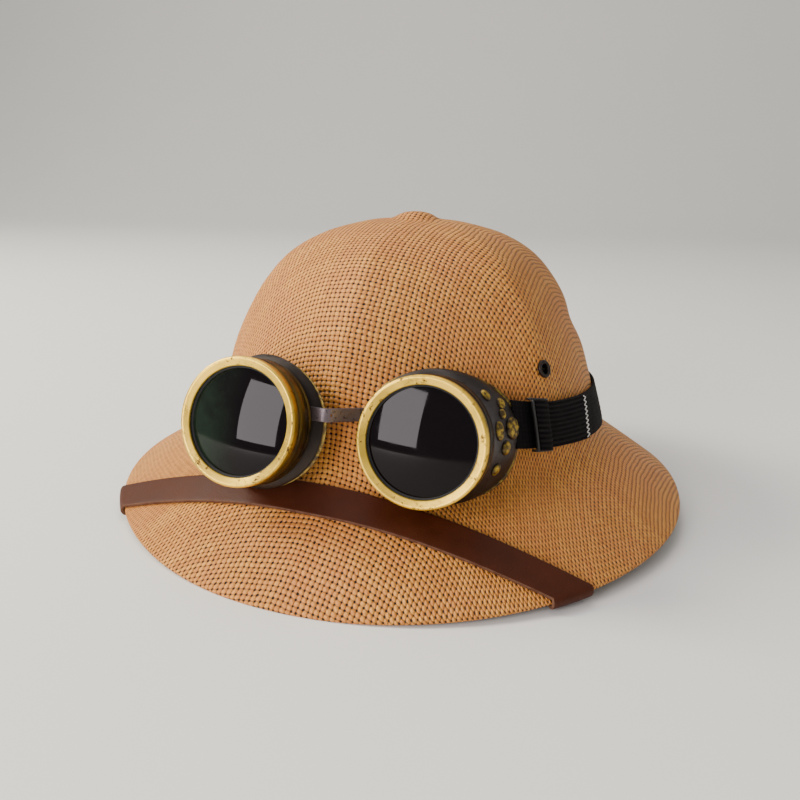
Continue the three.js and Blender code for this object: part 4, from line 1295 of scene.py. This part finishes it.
def eyepiece_frame(side):
    """Frame of an eyepiece: Y runs back from the middle of its face, in metres."""
    row = EYEPIECES[side]
    place = Matrix.Translation(Vector(row["place"]) * MM)
    turn = Matrix.Rotation(math.radians(row["turn"]), 4, "Z")
    return place @ turn @ Matrix.Rotation(-math.radians(row["tilt"]), 4, "X")


def temple_share(angle):
    """How much a direction round the cup's axis belongs to the temple side."""
    return ((1 + np.cos(angle)) / 2) ** CUP_TEMPLE_POWER


def flare_point(angle, way, inward=0.0):
    """Radius and distance back of a point of the cup's flare."""
    temple, nose = temple_share(angle), temple_share(np.pi - angle)
    depth = CUP_NOSE_DEPTH + (CUP_TEMPLE_DEPTH - CUP_NOSE_DEPTH) * temple
    flange = CUP_FLANGE_RADIUS + CUP_TEMPLE_FLARE * temple + CUP_NOSE_FLARE * nose
    start = NECK_RADIUS + 0.6
    spread = np.sin(np.pi / 2 * np.minimum(way / 0.9, 1)) ** 1.5
    return start + (flange - start) * spread - inward, FLARE_FRONT + (depth - FLARE_FRONT) * way


def crown_gap(points):
    """Distance in the plan from points to the crown's face, negative inside it."""
    x, y = points[..., 0], points[..., 1] - CROWN_CENTRE_Y
    theta = np.arctan2(x / CROWN_WIDTH, -y / CROWN_LENGTH)
    low = points[..., 2] < CROWN_BASE_Z + FILLET_RISE
    face = surface(theta, np.where(low, CORNER_U, crown_share_at(theta, points[..., 2])))
    gap = np.hypot(x, y) - np.hypot(face[..., 0], face[..., 1] - CROWN_CENTRE_Y)
    return gap


def in_helmet_frame(local, side):
    """Points of an eyepiece's own frame, in millimetres of the helmet's frame."""
    matrix = np.array(eyepiece_frame(side))
    return local @ matrix[:3, :3].T + matrix[:3, 3] / MM


def pulled_clear(radius, back, angle, side):
    """Distances back, shortened where a point would come too close to the crown."""
    def is_clear(depth):
        local = np.stack([radius * np.cos(angle), depth, radius * np.sin(angle)], -1)
        return crown_gap(in_helmet_frame(local, side)) > CUP_CLEARANCE

    nearest = halved(np.full_like(back, FLARE_FRONT), back, is_clear, 14)[0]
    return np.where(is_clear(back), back, nearest)


class HELMET_OT_goggles(bpy.types.Operator):
    """Both eyepieces: cup, raised bosses, bezel ring, gasket and lens"""
    bl_idname = "helmet.goggles"
    bl_label = "Goggles"

    def execute(self, context):
        settings = context.scene.goggle_settings
        brass = brass_material(settings, wear_tree())
        bronze = bronze_material(settings, wear_tree())
        lens = lens_material(settings)
        rubber = shared("black_rubber", rubber_material, "black_rubber", RUBBER_BLACK)
        for side in ("right", "left"):
            matrix = eyepiece_frame(side)
            self.bezel(side, matrix, brass)
            self.gasket(side, matrix, rubber)
            self.lens(side, matrix, lens)
            self.cup(side, bronze)
            self.bosses(side, matrix, bronze)
        return {"FINISHED"}

    @staticmethod
    def bezel(side, matrix, brass):
        opening, outer, bore = BEZEL_OPENING_RADIUS - 0.3, BEZEL_RADIUS, BEZEL_RADIUS - BEZEL_WALL
        inner_edge = arc_points((opening + 0.6, 1.5), 0.6, 180, 255, 4)
        outer_edge = arc_points((outer - 1.15, 1.15), 1.15, 262, 360, 8)
        side_rows = [(outer, y) for y in (2.2, 3.2, 5.0)]
        face = [*inner_edge, (opening + 1.5, 0.55), (opening + 2.4, 0.20), *outer_edge]
        groove = [(outer - 0.45, 5.35), (outer - 0.45, 5.75), (outer, 6.1)]
        rear = [(outer, 10.0), (outer, 13.4), (outer - 0.5, 13.8), (outer - 0.5, 14.2),
                (outer, 14.6), (outer, 15.4), (outer - 0.6, 16.0)]
        inside = [(bore, 16.0), (bore, 2.0), (opening, 2.0)]
        bm = spun([*face, *side_rows, *groove, *rear, *inside], 128, matrix)
        layer = bm.verts.layers.float.new("patina")
        back = matrix.inverted()
        for vert in bm.verts:
            local = back @ vert.co
            depth, reach = local.y / MM, math.hypot(local.x, local.z) / MM
            vert[layer] = min(1.0, max(0.0, (depth - 1.5) / 3.4)) if reach > opening + 0.3 else 0.5
        new_piece(f"brass_bezel_{side}", bm, brass, f"bezel_ring_{side}")

    @staticmethod
    def gasket(side, matrix, rubber):
        inner, outer = BEZEL_OPENING_RADIUS - 1.1, NECK_RADIUS
        profile = [(inner + 0.4, 2.5), (inner, 2.9), (inner, 3.6), (outer, 3.6), (outer, 2.3),
                   (inner + 1.2, 2.3)]
        bm = spun(profile, 96, matrix)
        new_piece(f"rubber_gasket_{side}", bm, rubber, f"lens_gasket_{side}")

    @staticmethod
    def lens(side, matrix, material):
        radius, front, dome = NECK_RADIUS - 0.1, 3.65, 3.2
        steps = 16
        face = []
        for k in range(steps + 1):
            share = k / steps
            face.append((radius * share, front - dome * (1 - share ** 2)))
        bm = spun([*face, (radius, 5.6), (0, 5.6)], 96, matrix, closed=False)
        new_piece(f"tinted_lens_{side}", bm, material, f"lens_{side}")

    @staticmethod
    def cup(side, bronze):
        temple = EYEPIECES[side]["temple"]
        columns = 144
        turns = np.linspace(0, 2 * np.pi, columns + 1)
        param = turns if temple > 0 else np.pi - turns
        rows, rub, bare = [], [], []

        def add(radius, back, rubbed=0.0, steel=0.0):
            radius = np.broadcast_to(radius, turns.shape).astype(float)
            back = np.broadcast_to(back, turns.shape).astype(float)
            back = pulled_clear(radius, back, turns, side)
            rows.append(np.stack([radius * np.cos(turns), back, radius * np.sin(turns)], -1))
            rub.append(np.broadcast_to(rubbed, turns.shape))
            bare.append(steel * temple_share(param) ** 0.5)

        add(NECK_RADIUS, 6.0)
        add(NECK_RADIUS, RING_FRONT)
        add(CUP_RING_RADIUS - 0.3, RING_FRONT, 0.3)
        add(CUP_RING_RADIUS, RING_FRONT + 0.3, 0.5)
        add(CUP_RING_RADIUS, RING_FRONT + 1.0, 0.5)
        add(CUP_RING_RADIUS - 0.3, FLARE_FRONT, 0.1)
        for way in np.linspace(0.0, 0.86, 16):
            add(*flare_point(param, way), 0.0, max(0.0, 1 - way / 0.75))
        under_band = np.where(np.cos(param) > 0, np.minimum(1, 2.0 * np.abs(np.sin(param))), 1)
        sideways = np.cos(turns) ** 2 * under_band
        for way, swell, rubbed in ((0.87, 0.0, 0.0), (0.885, 0.9, 0.5), (0.90, 1.6, 0.6),
                                   (0.93, 1.9, 0.0), (0.97, 1.8, 0.1), (1.0, 1.5, 0.7)):
            radius, back = flare_point(param, way)
            add(radius + swell * sideways - 0.5 * (1 - sideways), back, rubbed)
        radius, back = flare_point(param, 1.0)
        add(radius - 0.6, back + 0.2, 0.1)
        for way in (1.0, 0.8, 0.5, 0.2, 0.0):
            add(*flare_point(param, way, CUP_WALL))
        add(NECK_RADIUS - CUP_WALL, 6.0)
        place = np.array([in_helmet_frame(row, side) for row in [*rows, rows[0]]])
        place[:, -1] = place[:, 0]
        marks = {"rub": np.array([*rub, rub[0]]), "bare": np.array([*bare, bare[0]])}
        bm = formed_grid(place, None, marks)
        bmesh.ops.recalc_face_normals(bm, faces=bm.faces)
        new_piece(f"bronze_cup_{side}", bm, bronze, f"goggle_cup_{side}")

    @staticmethod
    def bosses(side, matrix, bronze):
        temple = EYEPIECES[side]["temple"]
        bm = bmesh.new()
        layer = bm.verts.layers.float.new("rub")
        for kind, from_temple, way, half_round, half_along in BOSSES:
            from_temple = math.radians(from_temple)
            radius, back = flare_point(np.float64(from_temple), way)
            angle = from_temple if temple > 0 else math.pi - from_temple
            ahead = flare_point(np.float64(from_temple), way + 0.02)
            lean = math.atan2(ahead[0] - radius, ahead[1] - back)
            made = bmesh.ops.create_uvsphere(bm, u_segments=24, v_segments=14, radius=1.0)["verts"]
            height = 1.9 if kind == "flower" else 1.5
            for vert in made:
                x, y, z = vert.co
                ring = math.hypot(y, z)
                spoke = math.cos(8 * math.atan2(z, y))
                out = x * height
                if kind == "flower":
                    out += 0.35 * spoke * ring - 0.9 * max(0, 0.45 - ring)
                elif kind == "oval":
                    out -= 0.8 * max(0, 0.55 - ring)
                size = BOSS_SCALE * MM
                vert.co = (out * MM, size * y * half_along, size * z * half_round)
                vert[layer] = min(1.0, max(0.0, 1.5 * x - 0.2))
            bmesh.ops.rotate(bm, cent=(0, 0, 0), matrix=Matrix.Rotation(-lean, 3, "Z"), verts=made)
            bmesh.ops.rotate(bm, cent=(0, 0, 0), matrix=Matrix.Rotation(-angle, 3, "Y"), verts=made)
            spot = Vector((radius * math.cos(angle), back, radius * math.sin(angle))) * MM
            bmesh.ops.translate(bm, vec=spot, verts=made)
        bmesh.ops.transform(bm, matrix=matrix, verts=bm.verts)
        bmesh.ops.recalc_face_normals(bm, faces=bm.faces)
        new_piece(f"cup_bosses_{side}", bm, bronze)


class HELMET_OT_nose_bridge(bpy.types.Operator):
    """Flat metal nose bridge with its two pin holes"""
    bl_idname = "helmet.nose_bridge"
    bl_label = "Nose Bridge"

    def execute(self, context):
        right, left = eyepiece_frame("right"), eyepiece_frame("left")
        reach = NECK_RADIUS + 0.6
        path = np.array([
            tuple(matrix @ (Vector((x, FLARE_FRONT + back, BRIDGE_RISE)) * MM))
            for matrix, x, back in (
                (right, reach - 1.0, 0.9), (right, reach + 2.6, 0.7), (right, reach + 6.8, 0.9),
                (left, -reach - 4.0, 2.6), (left, -reach + 1.0, 2.0))]) / MM
        run = np.concatenate([[0], np.cumsum(np.linalg.norm(np.diff(path, axis=0), axis=1))])
        steps = np.linspace(0, run[-1], 49)
        line = np.stack([np.interp(steps, run, path[:, k]) for k in range(3)], -1)
        for _ in range(6):
            line[1:-1] = (line[:-2] + 2 * line[1:-1] + line[2:]) / 4
        along = unit(np.gradient(line, axis=0))
        up = np.array(right.to_3x3() @ Vector((0, 0, 1)))
        out = unit(np.cross(along, up))
        rise = np.cross(out, along)
        profile = band_profile(BRIDGE_WIDTH, BRIDGE_THICKNESS, 0.25, 8)
        place = (line[:, None] + profile[None, :, :1] * rise[:, None]
                 + (profile[None, :, 1:] - BRIDGE_THICKNESS / 2) * out[:, None])
        bm = swept_band(place, profile, run[-1])
        piece = new_piece("bridge_strip", bm, gunmetal(context), "nose_bridge")
        holes = []
        for share in BRIDGE_HOLE_SHARES:
            k = round(share * (len(line) - 1))
            turn = Vector((0, 1, 0)).rotation_difference(Vector(out[k])).to_matrix().to_4x4()
            holes.append(Matrix.Translation(Vector(line[k]) * MM) @ turn)
        cut_holes(piece, holes, BRIDGE_HOLE_RADIUS)
        return {"FINISHED"}


# Name, place, size, share of the key light's power, and colour
LIGHTS = [
    ("key_light", (-1.38, -0.34, 1.08), (0.7, 0.7), 1.0, (1.0, 0.965, 0.80)),
    ("window_light", (-0.45, -1.29, 0.45), (0.54, 0.72), 0.42, (1.0, 0.92, 0.95)),
    ("top_light", (-0.30, 0.30, 1.6), (1.0, 1.0), 0.25, (1.0, 0.97, 0.95)),
]
LIGHT_TARGET = Vector((0, 0, 0.06))
WORLD_STRENGTH = 0.60
WORLD_COLOR = (0.82, 0.80, 0.80, 1)
CAMERA_PLACE = (0.15066, -0.41512, 0.17805)
CAMERA_TURN = (73.2269, -1.3204, 21.1613)
BACKDROP_TURN = 20


class HELMET_OT_stage(bpy.types.Operator):
    """Pale floor, soft studio lights and the camera"""
    bl_idname = "helmet.stage"
    bl_label = "Stage"

    def execute(self, context):
        settings = context.scene.stage_settings
        self.floor(settings)
        self.lights(settings)
        self.camera(context, settings)
        return {"FINISHED"}

    @staticmethod
    def floor(settings):
        material, shader, pen, place = new_material("pale_floor")
        cloud = pen.noise(place, 6.0, 4.0, 0.6)
        color = pen.mix(cloud, scaled(settings.floor_color, 0.97), settings.floor_color)
        pen.tree.links.new(color, shader.inputs["Base Color"])
        shader.inputs["Roughness"].default_value = 0.75
        sweep = np.radians(np.linspace(0, 90, 13))
        profile = [(-12.0, 0.0), *((1.6 + math.sin(t), 1 - math.cos(t)) for t in sweep), (2.6, 4.0)]
        place = np.array([[(x, y, z) for x in (-9, 9)] for y, z in profile])
        bm = formed_grid(place / MM)
        bmesh.ops.rotate(bm, cent=(0, 0, 0), verts=bm.verts, matrix=Matrix.Rotation(
            math.radians(BACKDROP_TURN), 3, "Z"))
        for face in bm.faces:
            face.smooth = True
        mesh = bpy.data.meshes.new("floor")
        bm.to_mesh(mesh)
        bm.free()
        mesh.materials.append(material)
        floor = bpy.data.objects.new("floor", mesh)
        bpy.context.scene.collection.objects.link(floor)

    @staticmethod
    def lights(settings):
        world = bpy.data.worlds.new("studio")
        world.use_nodes = True
        background = world.node_tree.nodes["Background"]
        background.inputs["Color"].default_value = WORLD_COLOR
        background.inputs["Strength"].default_value = WORLD_STRENGTH
        bpy.context.scene.world = world
        for name, place, size, share, color in LIGHTS:
            data = bpy.data.lights.new(name, "AREA")
            data.shape = "RECTANGLE"
            data.size, data.size_y = size
            data.energy = settings.key_power * share
            data.color = color
            light = bpy.data.objects.new(name, data)
            light.location = place
            aim = LIGHT_TARGET - Vector(place)
            light.rotation_euler = aim.to_track_quat("-Z", "Y").to_euler()
            bpy.context.scene.collection.objects.link(light)

    @staticmethod
    def camera(context, settings):
        data = bpy.data.cameras.new("camera")
        data.lens = settings.lens_length
        data.sensor_width = 36.0
        data.sensor_fit = "HORIZONTAL"
        camera = bpy.data.objects.new("camera", data)
        camera.location = CAMERA_PLACE
        camera.rotation_euler = [math.radians(turn) for turn in CAMERA_TURN]
        context.scene.collection.objects.link(camera)
        context.scene.camera = camera


class HELMET_PT_panel(bpy.types.Panel):
    """Lists the pieces of the helmet and their settings"""
    bl_idname = "HELMET_PT_panel"
    bl_label = "Pith Helmet"
    bl_space_type = "VIEW_3D"
    bl_region_type = "UI"
    bl_category = "Pith Helmet"

    def draw(self, context):
        for owner, names in SETTINGS_SHOWN.items():
            box = self.layout.box()
            for name in names:
                box.prop(getattr(context.scene, owner), name)
        for operator in OPERATORS:
            self.layout.operator(operator.bl_idname)


SETTINGS = {
    "helmet_settings": HelmetSettings,
    "strap_settings": StrapSettings,
    "elastic_settings": ElasticSettings,
    "goggle_settings": GoggleSettings,
    "stage_settings": StageSettings,
}
SETTINGS_SHOWN = {owner: list(kind.__annotations__) for owner, kind in SETTINGS.items()}
OPERATORS = (
    HELMET_OT_stage,
    HELMET_OT_straw_shell,
    HELMET_OT_vent_eyelets,
    HELMET_OT_leather_strap,
    HELMET_OT_elastic,
    HELMET_OT_goggles,
    HELMET_OT_nose_bridge,
)


def register():
    for kind in (*SETTINGS.values(), *OPERATORS, HELMET_PT_panel):
        bpy.utils.register_class(kind)
    for owner, kind in SETTINGS.items():
        setattr(bpy.types.Scene, owner, PointerProperty(type=kind))


def unregister():
    for owner in SETTINGS:
        delattr(bpy.types.Scene, owner)
    for kind in reversed((*SETTINGS.values(), *OPERATORS, HELMET_PT_panel)):
        bpy.utils.unregister_class(kind)


def main():
    """Builds every piece."""
    register()
    for operator in OPERATORS:
        getattr(bpy.ops.helmet, operator.bl_idname.split(".")[1])()


if __name__ == "__main__":
    main()
